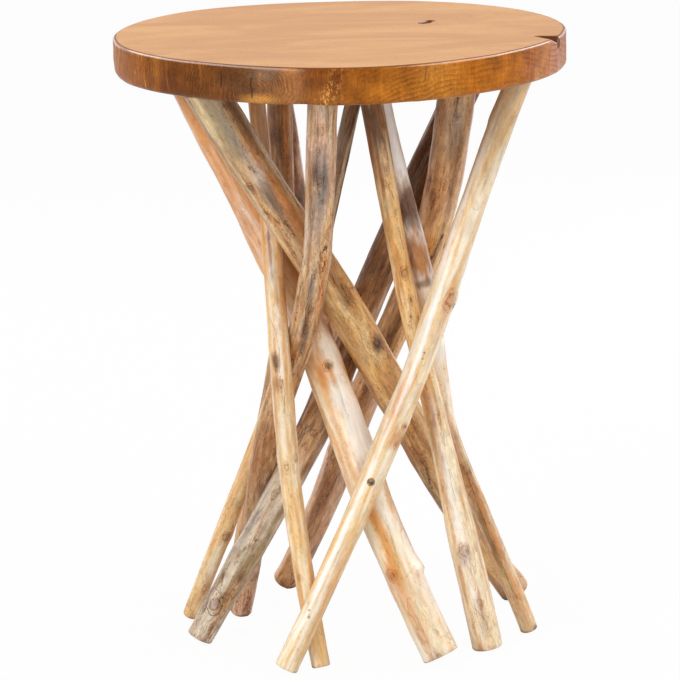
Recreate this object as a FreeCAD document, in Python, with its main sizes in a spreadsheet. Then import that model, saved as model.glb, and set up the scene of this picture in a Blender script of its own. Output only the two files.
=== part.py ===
import FreeCAD, Part
import math
import os
from FreeCAD import Placement, Rotation, Vector

# Side table: a thick round slab of solid wood on twelve peeled branches that cross at the waist.
# Millimetres. +Z is up, +X is to the right and +Y to the back, seen from the front of the table.
# The origin lies on the floor under the middle of the slab.

SIZES = (
    ("table_height", 610, "floor to the upper face of the slab"),
    ("slab_across", 444, "mean width of the slab"),
    ("slab_thickness", 36, "thickness of the slab"),
    ("slab_upper_round", 7, "rounding of the slab's upper rim"),
    ("slab_lower_round", 4, "rounding of the slab's lower rim"),
    ("knot_hole_long", 26, "length of the small open knot in the upper face"),
    ("knot_hole_wide", 12, "width of that knot"),
    ("knot_hole_deep", 3, "depth of that knot"),
    ("foot_stance", 444, "width of the floor circle that the feet are placed in"),
    ("foot_levelling", 0.8, "depth sanded flat off the lowest edge of each foot"),
    ("trim_overrun", 30, "wood left on each branch before it is trimmed under the slab"),
    ("notch_clearance", 0.3, "gap between two branches that are seated in each other"),
    ("fit_clearance", 0.1, "gap between a dowel, screw or plug and its hole"),
    ("dowel_across", 8, "width of the glued dowel at the top of each branch"),
    ("dowel_length", 36, "length of that dowel"),
    ("dowel_chamfer", 0.8, "chamfer on both ends of that dowel"),
    ("screw_across", 3.5, "width of a crossing screw's shank"),
    ("screw_head_across", 7, "width of its countersunk head"),
    ("screw_head_long", 3.2, "length of its head"),
    ("screw_point_long", 7, "length of its tapered point"),
    ("screw_point_across", 0.6, "width at the tip of its point"),
    ("plug_across", 8, "width of the wood plug over a screw head"),
    ("plug_long", 4.5, "depth of that plug below the bark side of its branch"),
    ("girth_long_front", 25, "mean width of leg_long_front"),
    ("girth_honey_right", 22, "mean width of leg_honey_right"),
    ("girth_slim_right", 20.5, "mean width of leg_slim_right"),
    ("girth_big_diagonal", 38, "mean width of leg_big_diagonal"),
    ("girth_grey_centre", 28, "mean width of leg_grey_centre"),
    ("girth_thin_left", 20, "mean width of leg_thin_left"),
    ("girth_orange_front", 37, "mean width of leg_orange_front"),
    ("girth_grey_left", 34, "mean width of leg_grey_left"),
    ("girth_red_right", 34, "mean width of leg_red_right"),
    ("girth_pale_left", 17, "mean width of leg_pale_left"),
    ("girth_back_left", 23.5, "mean width of leg_back_left"),
    ("girth_back_middle", 23, "mean width of leg_back_middle"),
)

# The slab's outline, as shares of its mean half width at even bearings, from the right turning to the back.
SLAB_OUTLINE_SHARES = (
    0.995, 1.02, 1.045, 1.06, 1.055, 1.03, 1.04, 1.06,
    1.045, 1.02, 1.0, 0.985, 0.97, 0.96, 0.975, 0.995,
    0.985, 0.965, 0.955, 0.97,
)
KNOT_HOLE_PLACE_SHARES = (0.39, 0.28)
KNOT_HOLE_BEARING = 65

# The branches, each listed from the floor up. A row holds four shares: how high (0 is the floor and 1 the
# underside of the slab), how far right and how far back (of the half width of the stance or the slab), and
# how thick (of the branch's own girth). A branch is notched where it crosses one that is listed before it.
LEG_PATH_SHARES = {
    "leg_long_front": (
        (0, -0.30, -0.605, 0.92), (0.15, -0.11, -0.545, 0.86), (0.3, 0.075, -0.47, 0.94),
        (0.42, 0.21, -0.44, 1.05), (0.52, 0.32, -0.42, 1.0), (0.6, 0.395, -0.40, 1.08),
        (0.8, 0.58, -0.34, 1.03), (1, 0.785, -0.28, 1.02),
    ),
    "leg_honey_right": (
        (0, 0.61, -0.29, 1.39), (0.2, 0.505, -0.29, 1.36), (0.3, 0.45, -0.29, 1.12),
        (0.45, 0.37, -0.305, 0.96), (0.6, 0.285, -0.335, 0.88), (0.8, 0.20, -0.40, 0.93),
        (1, 0.115, -0.48, 1.0),
    ),
    "leg_slim_right": (
        (0, 0.81, -0.025, 0.83), (0.15, 0.665, -0.085, 0.94), (0.3, 0.515, -0.145, 0.98),
        (0.38, 0.445, -0.175, 1.02), (0.46, 0.41, -0.205, 1.05), (0.6, 0.37, -0.25, 1.04),
        (0.8, 0.263, -0.32, 1.01), (1, 0.16, -0.39, 1.01),
    ),
    "leg_big_diagonal": (
        (0, 0.78, 0.565, 0.77), (0.15, 0.565, 0.345, 0.86), (0.3, 0.37, 0.13, 0.95),
        (0.45, 0.19, -0.065, 0.98), (0.6, 0, -0.225, 0.985), (0.8, -0.29, -0.425, 1.0),
        (1, -0.565, -0.625, 1.07),
    ),
    "leg_grey_centre": (
        (0, -0.51, 0.365, 0.80), (0.15, -0.445, 0.185, 0.90), (0.3, -0.383, -0.005, 0.98),
        (0.4, -0.33, -0.13, 1.0), (0.5, -0.25, -0.255, 0.98), (0.6, -0.17, -0.375, 0.975),
        (0.7, -0.125, -0.49, 0.99), (0.85, -0.095, -0.66, 1.0), (1, -0.075, -0.83, 1.04),
    ),
    "leg_thin_left": (
        (0, -0.135, -0.54, 0.88), (0.1, -0.18, -0.49, 0.95), (0.25, -0.236, -0.435, 1.0),
        (0.45, -0.278, -0.40, 1.05), (0.7, -0.312, -0.325, 0.96), (0.85, -0.343, -0.27, 0.88),
        (1, -0.375, -0.215, 0.82),
    ),
    "leg_orange_front": (
        (0, 0.41, -0.50, 0.96), (0.15, 0.235, -0.42, 0.98), (0.3, 0.08, -0.328, 1.04),
        (0.4, -0.01, -0.243, 1.03), (0.5, -0.10, -0.20, 1.0), (0.6, -0.20, -0.195, 0.93),
        (0.75, -0.375, -0.205, 0.865), (1, -0.68, -0.23, 0.845),
    ),
    "leg_grey_left": (
        (0, -0.70, -0.105, 0.74), (0.15, -0.475, -0.09, 0.87), (0.3, -0.255, -0.075, 0.96),
        (0.4, -0.123, -0.067, 0.99), (0.5, -0.01, -0.038, 1.0), (0.65, 0.16, 0.02, 0.99),
        (0.8, 0.345, 0.055, 1.0), (1, 0.597, 0.095, 1.02),
    ),
    "leg_red_right": (
        (0, -0.322, 0.84, 0.765), (0.15, -0.14, 0.663, 0.89), (0.3, -0.003, 0.486, 0.96),
        (0.45, 0.136, 0.307, 0.94), (0.6, 0.293, 0.124, 0.97), (0.75, 0.415, -0.06, 1.03),
        (0.87, 0.47, -0.205, 1.08), (1, 0.508, -0.36, 1.1),
    ),
    "leg_pale_left": (
        (0, -0.742, 0.32, 1.0), (0.2, -0.54, 0.19, 1.1), (0.4, -0.344, 0.065, 1.05),
        (0.55, -0.21, -0.045, 1.02), (0.7, -0.105, -0.165, 0.98), (0.85, -0.017, -0.287, 0.93),
        (1, 0.077, -0.405, 0.88),
    ),
    "leg_back_left": (
        (0, -0.52, 0.74, 0.97), (0.25, -0.41, 0.64, 0.98), (0.5, -0.285, 0.52, 1.0),
        (0.75, -0.27, 0.40, 1.0), (1, -0.265, 0.285, 1.02),
    ),
    "leg_back_middle": (
        (0, 0.255, 0.75, 0.96), (0.35, 0.02, 0.55, 0.98), (0.55, -0.125, 0.49, 1.0),
        (0.75, -0.22, 0.475, 1.03), (1, -0.295, 0.42, 1.03),
    ),
}

# Each crossing screw is driven from the first branch into the second. The share is how far its head slides up
# the first branch from where the two are nearest, of that branch's girth. Only the first plug faces the front.
CROSSING_SLIDE_SHARES = (
    ("leg_long_front", "leg_orange_front", 0.5),
    ("leg_grey_left", "leg_orange_front", 0),
    ("leg_honey_right", "leg_long_front", 0),
    ("leg_thin_left", "leg_long_front", 0),
    ("leg_slim_right", "leg_honey_right", 0),
    ("leg_big_diagonal", "leg_grey_centre", 0),
    ("leg_thin_left", "leg_big_diagonal", 0),
    ("leg_grey_left", "leg_big_diagonal", 0),
    ("leg_grey_centre", "leg_grey_left", 0),
    ("leg_pale_left", "leg_orange_front", 0),
    ("leg_red_right", "leg_grey_left", 0),
    ("leg_back_middle", "leg_red_right", 0),
    ("leg_back_middle", "leg_back_left", 0),
)
SCREW_TIP_SHARE = 0.4
PATH_SAMPLES = 48
RING_COUNT = 14

doc = FreeCAD.newDocument("side_table")

sheet = doc.addObject("Spreadsheet::Sheet", "sizes")
for row, (alias, value, meaning) in enumerate(SIZES, start=1):
    sheet.set(f"A{row}", meaning)
    sheet.set(f"B{row}", str(value))
    sheet.setAlias(f"B{row}", alias)
doc.recompute()


def size(alias):
    return float(getattr(sheet, alias))


leg_height = size("table_height") - size("slab_thickness")
half_slab = size("slab_across") / 2
half_stance = size("foot_stance") / 2


class Branch:
    """One branch: the smooth middle line of its wood and its radius at any height."""

    def __init__(self, name):
        self.name = name
        self.girth = "girth_" + name.removeprefix("leg_")
        self.rows = LEG_PATH_SHARES[name]
        self.joint = branch_point(self.rows[-1])
        inner = [branch_point(row) for row in self.rows[1:-1]]
        self.line = Part.BSplineCurve()
        self.line.interpolate([self.foot_end(inner[0])] + inner + [self.top_end(inner[-1])])
        self.edge = self.line.toShape()

    def foot_end(self, above):
        """The middle of the square-cut foot, low enough for its lowest edge to be sanded level."""
        foot = branch_point(self.rows[0])
        direction = (above - foot).normalize()
        lean = math.hypot(direction.x, direction.y)
        lift = self.radius(0) * lean - size("foot_levelling")
        return foot + direction * (lift / direction.z)

    def top_end(self, below):
        """The end of the untrimmed wood, past the underside of the slab."""
        return self.joint + (self.joint - below).normalize() * size("trim_overrun")

    def direction(self, point):
        """The upward direction of the middle line next to a point."""
        return self.line.tangent(self.line.parameter(point))[0].normalize()

    def thickness_share(self, height):
        """The share of the girth at a height, between the rows above and below it."""
        share = min(max(height / leg_height, 0), 1)
        for lower, upper in zip(self.rows, self.rows[1:]):
            if share <= upper[0]:
                along = (share - lower[0]) / (upper[0] - lower[0])
                return lower[3] + along * (upper[3] - lower[3])
        return self.rows[-1][3]

    def radius(self, height):
        return size(self.girth) / 2 * self.thickness_share(height)


def branch_point(row):
    """The place of one row of shares in the table's frame."""
    high, right, back, _ = row
    reach = half_stance + (half_slab - half_stance) * high
    return Vector(right * reach, back * reach, high * leg_height)


def grown_wood(branch, suffix, extra):
    """The untrimmed branch, lofted through evenly spaced circles whose girth is bound to the sheet."""
    rings = []
    for index, centre in enumerate(branch.line.discretize(Number=RING_COUNT)):
        share = branch.thickness_share(centre.z)
        ring = doc.addObject("Part::Circle", f"{branch.name}_{suffix}_ring_{index}")
        ring.setExpression("Radius", f"sizes.{branch.girth} / 2 * {share:.4f}{extra}")
        ring.Placement = Placement(centre, Rotation(Vector(0, 0, 1), branch.direction(centre)))
        rings.append(ring)
    wood = doc.addObject("Part::Loft", f"{branch.name}_{suffix}")
    wood.Sections = rings
    wood.Solid = True
    wood.Ruled = False
    return wood


def cut(base, tool, name):
    result = doc.addObject("Part::Cut", name)
    result.Base = base
    result.Tool = tool
    return result


def feature(name, shape):
    """An object that holds a shape worked out from the sheet's sizes."""
    result = doc.addObject("Part::Feature", name)
    result.Shape = shape
    result.Placement = Placement()
    return result


def waste_block(name, bottom_expression):
    """A wide block of waste, used to trim the branches level under the slab or at the floor."""
    block = doc.addObject("Part::Box", name)
    wide = "sizes.slab_across + sizes.foot_stance"
    block.setExpression("Length", wide)
    block.setExpression("Width", wide)
    block.setExpression("Height", "sizes.slab_thickness + 2 * sizes.trim_overrun")
    block.setExpression("Placement.Base.x", f"-({wide}) / 2")
    block.setExpression("Placement.Base.y", f"-({wide}) / 2")
    block.setExpression("Placement.Base.z", bottom_expression)
    return block


def distance_between(one, other):
    """The least gap between the bark of two branches, on evenly spaced heights."""
    least = math.inf
    for point, radius in one.samples:
        for other_point, other_radius in other.samples:
            gap = point.distanceToPoint(other_point) - radius - other_radius
            least = min(least, gap)
    return least


def branch_samples(branch):
    """Points along the middle line, each with the branch's radius there."""
    points = branch.line.discretize(Number=PATH_SAMPLES)
    return [(point, branch.radius(point.z)) for point in points]


def round_bar(start, direction, length, radius):
    return Part.makeCylinder(radius, length, start, direction)


def dowel_bar(branch, clearance):
    """The dowel at the top of a branch, along the branch, half in it and half in the slab."""
    joint = branch.joint
    direction = branch.direction(joint)
    length = size("dowel_length") + 2 * clearance
    radius = size("dowel_across") / 2 + clearance
    return round_bar(joint - direction * (length / 2), direction, length, radius)


def screw_bar(seat, direction, length, clearance):
    """A countersunk wood screw from the seat of its head to its tip."""
    shank = size("screw_across") / 2 + clearance
    head = size("screw_head_across") / 2 + clearance
    point = size("screw_point_across") / 2 + clearance
    neck_at = size("screw_head_long")
    point_at = length - size("screw_point_long")
    outline = (
        Vector(0, 0, -clearance),
        Vector(head, 0, -clearance),
        Vector(shank, 0, neck_at),
        Vector(shank, 0, point_at),
        Vector(point, 0, length + clearance),
        Vector(0, 0, length + clearance),
        Vector(0, 0, -clearance),
    )
    profile = Part.Face(Part.makePolygon(outline))
    screw = profile.revolve(Vector(0, 0, 0), Vector(0, 0, 1), 360)
    screw.Placement = Placement(seat, Rotation(Vector(0, 0, 1), direction))
    return screw


class Crossing:
    """One screwed crossing: where its screw starts, which way it points and how long it is."""

    def __init__(self, driver, held, slide_share):
        self.driver = driver
        self.held = held
        nearest = driver.edge.distToShape(held.edge)[1][0][0]
        slide = size(driver.girth) * slide_share
        near = driver.line.value(driver.line.parameterAtDistance(slide, driver.line.parameter(nearest)))
        far = held.line.value(held.line.parameter(near))
        self.direction = (far - near).normalize()
        out = driver.radius(near.z)
        self.bark = near - self.direction * out
        self.seat = self.bark + self.direction * size("plug_long")
        reach = near.distanceToPoint(far) + SCREW_TIP_SHARE * held.radius(far.z)
        self.length = out - size("plug_long") + reach

    def bore(self):
        """The hole for the screw and its plug, through the driver and into the held branch."""
        clearance = size("fit_clearance")
        screw = screw_bar(self.seat, self.direction, self.length, clearance)
        radius = size("plug_across") / 2 + clearance
        start = self.bark - self.direction * size("plug_across")
        length = size("plug_across") + size("plug_long")
        return screw.fuse(round_bar(start, self.direction, length, radius))

    def plug(self, wood):
        """The wood plug, trimmed flush with the bark side of its branch."""
        start = self.bark - self.direction * size("plug_across")
        length = size("plug_across") + size("plug_long") - 2 * size("fit_clearance")
        bar = round_bar(start, self.direction, length, size("plug_across") / 2)
        return bar.common(wood.Shape)


branches = {name: Branch(name) for name in LEG_PATH_SHARES}
for branch in branches.values():
    branch.samples = branch_samples(branch)
crossings = [
    Crossing(branches[driver], branches[held], slide_share)
    for driver, held, slide_share in CROSSING_SLIDE_SHARES
]

woods = {}
grown = {}
for name, branch in branches.items():
    woods[name] = grown_wood(branch, "wood", "")
    grown[name] = grown_wood(branch, "room", " + sizes.notch_clearance")
slab_room = waste_block("slab_room", "sizes.table_height - sizes.slab_thickness")
floor_room = waste_block("floor_room", "-(sizes.slab_thickness + 2 * sizes.trim_overrun)")
trim = doc.addObject("Part::Compound", "trim_waste")
trim.Links = [slab_room, floor_room]
doc.recompute()

parts = []
names = list(branches)
for index, name in enumerate(names):
    branch = branches[name]
    leg = cut(woods[name], trim, f"{name}_trimmed")
    for earlier in names[:index]:
        if distance_between(branch, branches[earlier]) < 2 * size("notch_clearance"):
            leg = cut(leg, grown[earlier], f"{name}_notched_for_{earlier}")
    bores = [crossing.bore() for crossing in crossings if branch in (crossing.driver, crossing.held)]
    bores.append(dowel_bar(branch, size("fit_clearance")))
    bore_waste = feature(f"{name}_bores", Part.makeCompound(bores))
    leg = cut(leg, bore_waste, f"{name}_finished")
    leg.Label = name
    parts.append(leg)


def slab_outline():
    """The slab's wavy outline, with the middle of its bounding box on the origin."""
    step = 2 * math.pi / len(SLAB_OUTLINE_SHARES)
    points = []
    for index, share in enumerate(SLAB_OUTLINE_SHARES):
        reach = half_slab * share
        points.append(Vector(reach * math.cos(index * step), reach * math.sin(index * step), 0))
    curve = Part.BSplineCurve()
    curve.interpolate(Points=points, PeriodicFlag=True)
    spread = curve.discretize(Number=PATH_SAMPLES * len(points))
    middle_x = (max(p.x for p in spread) + min(p.x for p in spread)) / 2
    middle_y = (max(p.y for p in spread) + min(p.y for p in spread)) / 2
    curve.translate(Vector(-middle_x, -middle_y, 0))
    return curve


def origin_plane(body, role):
    return next(item for item in body.Origin.OriginFeatures if item.Role == role)


def rim_edges(shape, height):
    """The names of the edges that lie flat at a height."""
    found = []
    for index, edge in enumerate(shape.Edges, start=1):
        box = edge.BoundBox
        if abs(box.ZMin - height) < size("fit_clearance") and abs(box.ZMax - height) < size("fit_clearance"):
            found.append(f"Edge{index}")
    return found


def rim_round(body, base, name, height, radius_alias):
    """A fillet along one rim of the slab, with its radius bound to the sheet."""
    rim = body.newObject("PartDesign::Fillet", name)
    rim.Base = (base, rim_edges(base.Shape, height))
    rim.setExpression("Radius", f"sizes.{radius_alias}")
    doc.recompute()
    return rim


blank = doc.addObject("PartDesign::Body", "slab_blank")
outline = blank.newObject("Sketcher::SketchObject", "slab_outline")
outline.AttachmentSupport = (origin_plane(blank, "XY_Plane"), [""])
outline.MapMode = "FlatFace"
outline.addGeometry(slab_outline(), False)
pad = blank.newObject("PartDesign::Pad", "slab_pad")
pad.Profile = outline
pad.setExpression("Length", "sizes.slab_thickness")
doc.recompute()
upper = rim_round(blank, pad, "slab_upper_rim", size("slab_thickness"), "slab_upper_round")
lower = rim_round(blank, upper, "slab_lower_rim", 0, "slab_lower_round")
blank.Tip = lower
blank.setExpression("Placement.Base.z", "sizes.table_height - sizes.slab_thickness")

knot = doc.addObject("Part::Ellipsoid", "knot_hole")
knot.setExpression("Radius1", "sizes.knot_hole_deep")
knot.setExpression("Radius2", "sizes.knot_hole_long / 2")
knot.setExpression("Radius3", "sizes.knot_hole_wide / 2")
knot_right, knot_back = KNOT_HOLE_PLACE_SHARES
knot.Placement = Placement(
    Vector(half_slab * knot_right, half_slab * knot_back, size("table_height")),
    Rotation(Vector(0, 0, 1), KNOT_HOLE_BEARING),
)
dowel_holes = [dowel_bar(branch, size("fit_clearance")) for branch in branches.values()]
slab_waste = doc.addObject("Part::Compound", "slab_waste")
slab_waste.Links = [feature("dowel_holes", Part.makeCompound(dowel_holes)), knot]
slab = cut(blank, slab_waste, "slab_finished")
slab.Label = "slab"
parts.append(slab)
doc.recompute()


def dowel(branch):
    bar = dowel_bar(branch, 0)
    rims = [edge for edge in bar.Edges if edge.Closed]
    return bar.makeChamfer(size("dowel_chamfer"), rims)


def screw(crossing):
    return screw_bar(crossing.seat, crossing.direction, crossing.length, 0)


dowels = feature("top_dowels", Part.makeCompound([dowel(branch) for branch in branches.values()]))
screws = feature("crossing_screws", Part.makeCompound([screw(crossing) for crossing in crossings]))
plugs = feature(
    "screw_plugs",
    Part.makeCompound([crossing.plug(woods[crossing.driver.name]) for crossing in crossings]),
)
parts.extend([dowels, screws, plugs])
doc.recompute()

for item in doc.Objects:
    if "Invalid" in item.State or "Error" in item.State:
        raise RuntimeError(f"{item.Label} failed: {item.State}")
for part in parts:
    if part.Shape.isNull() or not part.Shape.isValid():
        raise RuntimeError(f"{part.Label} has no valid shape")
for part in parts:
    if part.Label.startswith("leg_") and len(part.Shape.Solids) != 1:
        raise RuntimeError(f"{part.Label} fell into {len(part.Shape.Solids)} pieces")

os.makedirs("parts", exist_ok=True)
for part in parts:
    part.Shape.exportStep(f"parts/{part.Label}.step")
    print(part.Label, len(part.Shape.Solids), round(part.Shape.Volume))
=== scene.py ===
import math

import bmesh
import bpy
import numpy as np
from mathutils import Matrix, Vector, noise


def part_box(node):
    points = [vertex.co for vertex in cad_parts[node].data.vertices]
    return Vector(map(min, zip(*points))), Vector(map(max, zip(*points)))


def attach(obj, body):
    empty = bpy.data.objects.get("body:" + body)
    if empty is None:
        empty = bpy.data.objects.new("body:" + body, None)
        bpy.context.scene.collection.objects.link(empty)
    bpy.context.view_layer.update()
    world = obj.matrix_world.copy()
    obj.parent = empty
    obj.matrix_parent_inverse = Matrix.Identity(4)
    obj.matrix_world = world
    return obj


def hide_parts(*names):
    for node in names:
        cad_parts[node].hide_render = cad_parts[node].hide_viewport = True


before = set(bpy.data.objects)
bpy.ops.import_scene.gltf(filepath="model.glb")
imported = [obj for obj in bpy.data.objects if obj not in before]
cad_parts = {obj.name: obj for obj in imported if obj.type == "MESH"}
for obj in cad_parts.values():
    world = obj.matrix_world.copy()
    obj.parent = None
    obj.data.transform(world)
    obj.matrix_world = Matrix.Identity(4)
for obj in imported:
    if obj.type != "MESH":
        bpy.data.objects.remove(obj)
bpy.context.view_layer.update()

# %% [markdown]
# ## The camera
# A long lens far away keeps the branches nearly parallel, as a catalogue picture does. The eye stands a
# little above the slab and looks down at it. The camera could be aimed with a Track To constraint, but a
# matrix made of its own right, up and back directions is exact, and the same directions tell later cells
# which spot of the bark shows at which pixel of the picture.
# %% Place the camera
PICTURE_SIDE = 680
LENS_PIXELS = 4433.75
SENSOR_WIDTH = 36
SIGHT_END = 60
EYE = Vector((-0.00553, -4.3, 1.24083))
LOOK_DOWN = 0.214819
LENS_ROLL = -0.0198854


def add_object(name, data):
    """A new object in the scene."""
    made = bpy.data.objects.new(name, data)
    bpy.context.scene.collection.objects.link(made)
    return made


look = Vector((0, math.cos(LOOK_DOWN), -math.sin(LOOK_DOWN)))
level_right = Vector((1, 0, 0))
level_up = level_right.cross(look)
lens_right = level_right * math.cos(LENS_ROLL) + level_up * math.sin(LENS_ROLL)
lens_up = level_up * math.cos(LENS_ROLL) - level_right * math.sin(LENS_ROLL)

camera = add_object("camera", bpy.data.cameras.new("camera"))
rows = [(lens_right[axis], lens_up[axis], -look[axis], EYE[axis]) for axis in range(3)]
camera.matrix_world = Matrix((*rows, (0, 0, 0, 1)))
camera.data.sensor_width = SENSOR_WIDTH
camera.data.lens = SENSOR_WIDTH * LENS_PIXELS / PICTURE_SIDE
camera.data.clip_end = SIGHT_END
bpy.context.scene.camera = camera


def picture_place(points):
    """The pixel at which each point of the table shows, counted from the upper left corner."""
    reach = np.asarray(points) - np.array(EYE)
    depth = reach @ np.array(look)
    across, up = (LENS_PIXELS * (reach @ np.array(way)) / depth for way in (lens_right, lens_up))
    return PICTURE_SIDE / 2 + across, PICTURE_SIDE / 2 - up


print("lens", round(camera.data.lens, 2), "mm")

# %% [markdown]
# ## Shader maths as plain sums
# A material is a net of nodes, and a long net is hard to read. A wire stands for one socket, and adding or
# multiplying wires adds the Math nodes. A finish is a material in the making, with one method for any node.
# %% Wires and finishes
class Wire:
    """One output socket of a finish, which takes part in sums and products."""

    def __init__(self, finish, socket):
        self.finish = finish
        self.socket = socket

    def __add__(self, other):
        return self.finish.sum("ADD", self, other)

    def __radd__(self, other):
        return self.finish.sum("ADD", other, self)

    def __sub__(self, other):
        return self.finish.sum("SUBTRACT", self, other)

    def __rsub__(self, other):
        return self.finish.sum("SUBTRACT", other, self)

    def __mul__(self, other):
        return self.finish.sum("MULTIPLY", self, other)

    def __rmul__(self, other):
        return self.finish.sum("MULTIPLY", other, self)

    def __abs__(self):
        return self.finish.sum("ABSOLUTE", self)

    def fraction(self):
        return self.finish.sum("FRACT", self)

    def least(self, other):
        return self.finish.sum("MINIMUM", self, other)

    def most(self, other):
        return self.finish.sum("MAXIMUM", self, other)


class Finish:
    """A material in the making."""

    def __init__(self, name, holder=None):
        self.material = holder or bpy.data.materials.new(name)
        self.material.use_nodes = True
        self.tree = self.material.node_tree
        self.tree.nodes.clear()

    def node(self, kind, settings=None, inputs=None, out=0):
        """Adds a node of any kind: first its settings, then the values or wires of its inputs."""
        made = self.tree.nodes.new(kind)
        for key, value in (settings or {}).items():
            setattr(made, key, value)
        for key, value in (inputs or {}).items():
            if isinstance(value, Wire):
                self.tree.links.new(value.socket, made.inputs[key])
            else:
                made.inputs[key].default_value = value
        return Wire(self, made.outputs[out]) if made.outputs else None

    def sum(self, operation, *terms):
        """Adds a Math node, or a Vector Math node where a term is a vector."""
        vectors = any(isinstance(t, tuple) or isinstance(t, Wire) and t.socket.type == "VECTOR" for t in terms)
        if vectors:
            spread = [t if isinstance(t, (tuple, Wire)) else (t, t, t) for t in terms]
            return self.node("ShaderNodeVectorMath", {"operation": operation}, dict(enumerate(spread)))
        return self.node("ShaderNodeMath", {"operation": operation}, dict(enumerate(terms)))

    def noise(self, place, scale, detail=2.0, roughness=0.5, distortion=0.0):
        """Soft random values from 0 to 1. The scale counts the lumps in a metre."""
        values = {"Vector": place, "Scale": scale, "Detail": detail}
        values |= {"Roughness": roughness, "Distortion": distortion}
        return self.node("ShaderNodeTexNoise", {"noise_dimensions": "3D"}, values)

    def ramp(self, value, low, high):
        """0 below low, 1 above high, and a soft step between."""
        values = {"Value": value, "From Min": low, "From Max": high}
        return self.node("ShaderNodeMapRange", {"interpolation_type": "SMOOTHSTEP"}, values)

    def blend(self, first, second, share, mode="MIX"):
        """The second colour laid over the first, as far as the share says."""
        settings = {"data_type": "RGBA", "blend_type": mode}
        return self.node("ShaderNodeMix", settings, {0: share, 6: first, 7: second}, out=2)

    def darken(self, colour, *shades):
        """Multiplies a colour by shades in turn, each a red, green and blue share and how far it counts."""
        for shade, share in shades:
            colour = self.blend(colour, (*shade, 1), share, "MULTIPLY")
        return colour

    def attribute(self, name, out="Vector"):
        """A value that every point of the mesh carries."""
        return self.node("ShaderNodeAttribute", {"attribute_name": name}, out=out)

    def split(self, vector):
        """The three numbers of a vector."""
        parts = self.node("ShaderNodeSeparateXYZ", {}, {0: vector})
        return [Wire(self, output) for output in parts.socket.node.outputs]

    def surface(self, bump_height, bump_reach, inputs):
        """Ends the net in a Principled shader whose normal follows the height."""
        bump = {"Height": bump_height, "Distance": bump_reach, "Strength": 1.0}
        normal = self.node("ShaderNodeBump", {}, bump)
        shader = self.node("ShaderNodeBsdfPrincipled", {}, inputs | {"Normal": normal})
        self.node("ShaderNodeOutputMaterial", {}, {"Surface": shader})
        return self.material


def tone(red, green, blue):
    """A colour as it looks on a screen, from 0 to 255, turned into the light it stands for."""
    shares = [value / 255 for value in (red, green, blue)]
    return tuple(s / 12.92 if s <= 0.04045 else ((s + 0.055) / 1.055) ** 2.4 for s in shares) + (1.0,)


# %% [markdown]
# ## Floor and light
# The floor is a wide pale sheet. To the camera it is mostly white by its own colour, so the background stays
# white with no extra light on the table, and its plain part still takes the table's soft shadow. The world
# gives the wood an even light from all sides. Reflections see it white behind the table and darker in front,
# with one softbox at the front left and one high on either side, as in a studio with a white sweep. So the
# lacquer gets pale rims and a few glints, and keeps its depth in the middle.
# %% Floor
FLOOR_HALF = 9
FLOOR_GREY = (0.72, 0.72, 0.72, 1)
FLOOR_WHITE_TO_CAMERA = 0.955
FLOOR_WHITE_IN_GLOSS = 0.1


def to_mesh(work, name, smooth=True):
    """A mesh made of a bmesh, which is then done with."""
    for face in work.faces:
        face.smooth = smooth
    mesh = bpy.data.meshes.new(name)
    work.to_mesh(mesh)
    work.free()
    return mesh


sheet = bmesh.new()
bmesh.ops.create_grid(sheet, x_segments=1, y_segments=1, size=FLOOR_HALF)
floor_mesh = to_mesh(sheet, "studio_floor", smooth=False)
floor = add_object("studio_floor", floor_mesh)

floor_finish = Finish("studio_floor")
ray = "ShaderNodeLightPath"
to_camera = floor_finish.node(ray, out="Is Camera Ray")
to_gloss = floor_finish.node(ray, out="Is Glossy Ray")
plain = floor_finish.node("ShaderNodeBsdfDiffuse", {}, {"Color": FLOOR_GREY})
white = floor_finish.node("ShaderNodeEmission", {}, {"Color": (1, 1, 1, 1), "Strength": 1.0})
seen = to_camera * FLOOR_WHITE_TO_CAMERA + to_gloss * FLOOR_WHITE_IN_GLOSS
mixed = floor_finish.node("ShaderNodeMixShader", {}, {0: seen, 1: plain, 2: white})
floor_finish.node("ShaderNodeOutputMaterial", {}, {"Surface": mixed})
floor_mesh.materials.append(floor_finish.material)
print("floor", 2 * FLOOR_HALF, "m wide")

# %% World
WORLD_LEVEL = 0.64
GLOSS_IN_FRONT, GLOSS_BEHIND = 0.1, 0.9
FRONT_BOX_LEVEL, RIM_BOX_LEVEL = 4, 5

world = bpy.data.worlds.new("studio")
bpy.context.scene.world = world
sky = Finish("studio", world)
camera_ray = sky.node(ray, out="Is Camera Ray")
glossy_ray = sky.node(ray, out="Is Glossy Ray")
to_right, to_back, to_top = sky.split(sky.node("ShaderNodeTexCoord", out="Generated"))
at_front = 1 - sky.ramp(to_back, -0.6, -0.45)
front_box = (1 - sky.ramp(abs(to_right + 0.62), 0.08, 0.2)) * at_front * (1 - sky.ramp(to_top, 0.55, 0.7))
rim_boxes = sky.ramp(abs(to_right), 0.36, 0.5) * sky.ramp(to_top, 0.3, 0.42) * (1 - at_front)
in_gloss = GLOSS_IN_FRONT + sky.ramp(to_back, -0.2, 0.8) * GLOSS_BEHIND
in_gloss = in_gloss + front_box * FRONT_BOX_LEVEL + rim_boxes * RIM_BOX_LEVEL
level = camera_ray + glossy_ray * in_gloss + (1 - camera_ray.most(glossy_ray)) * WORLD_LEVEL
backdrop = sky.node("ShaderNodeBackground", {}, {"Color": (1, 1, 1, 1), "Strength": level})
sky.node("ShaderNodeOutputWorld", {}, {"Surface": backdrop})
print("world nodes", len(sky.tree.nodes))

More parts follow.
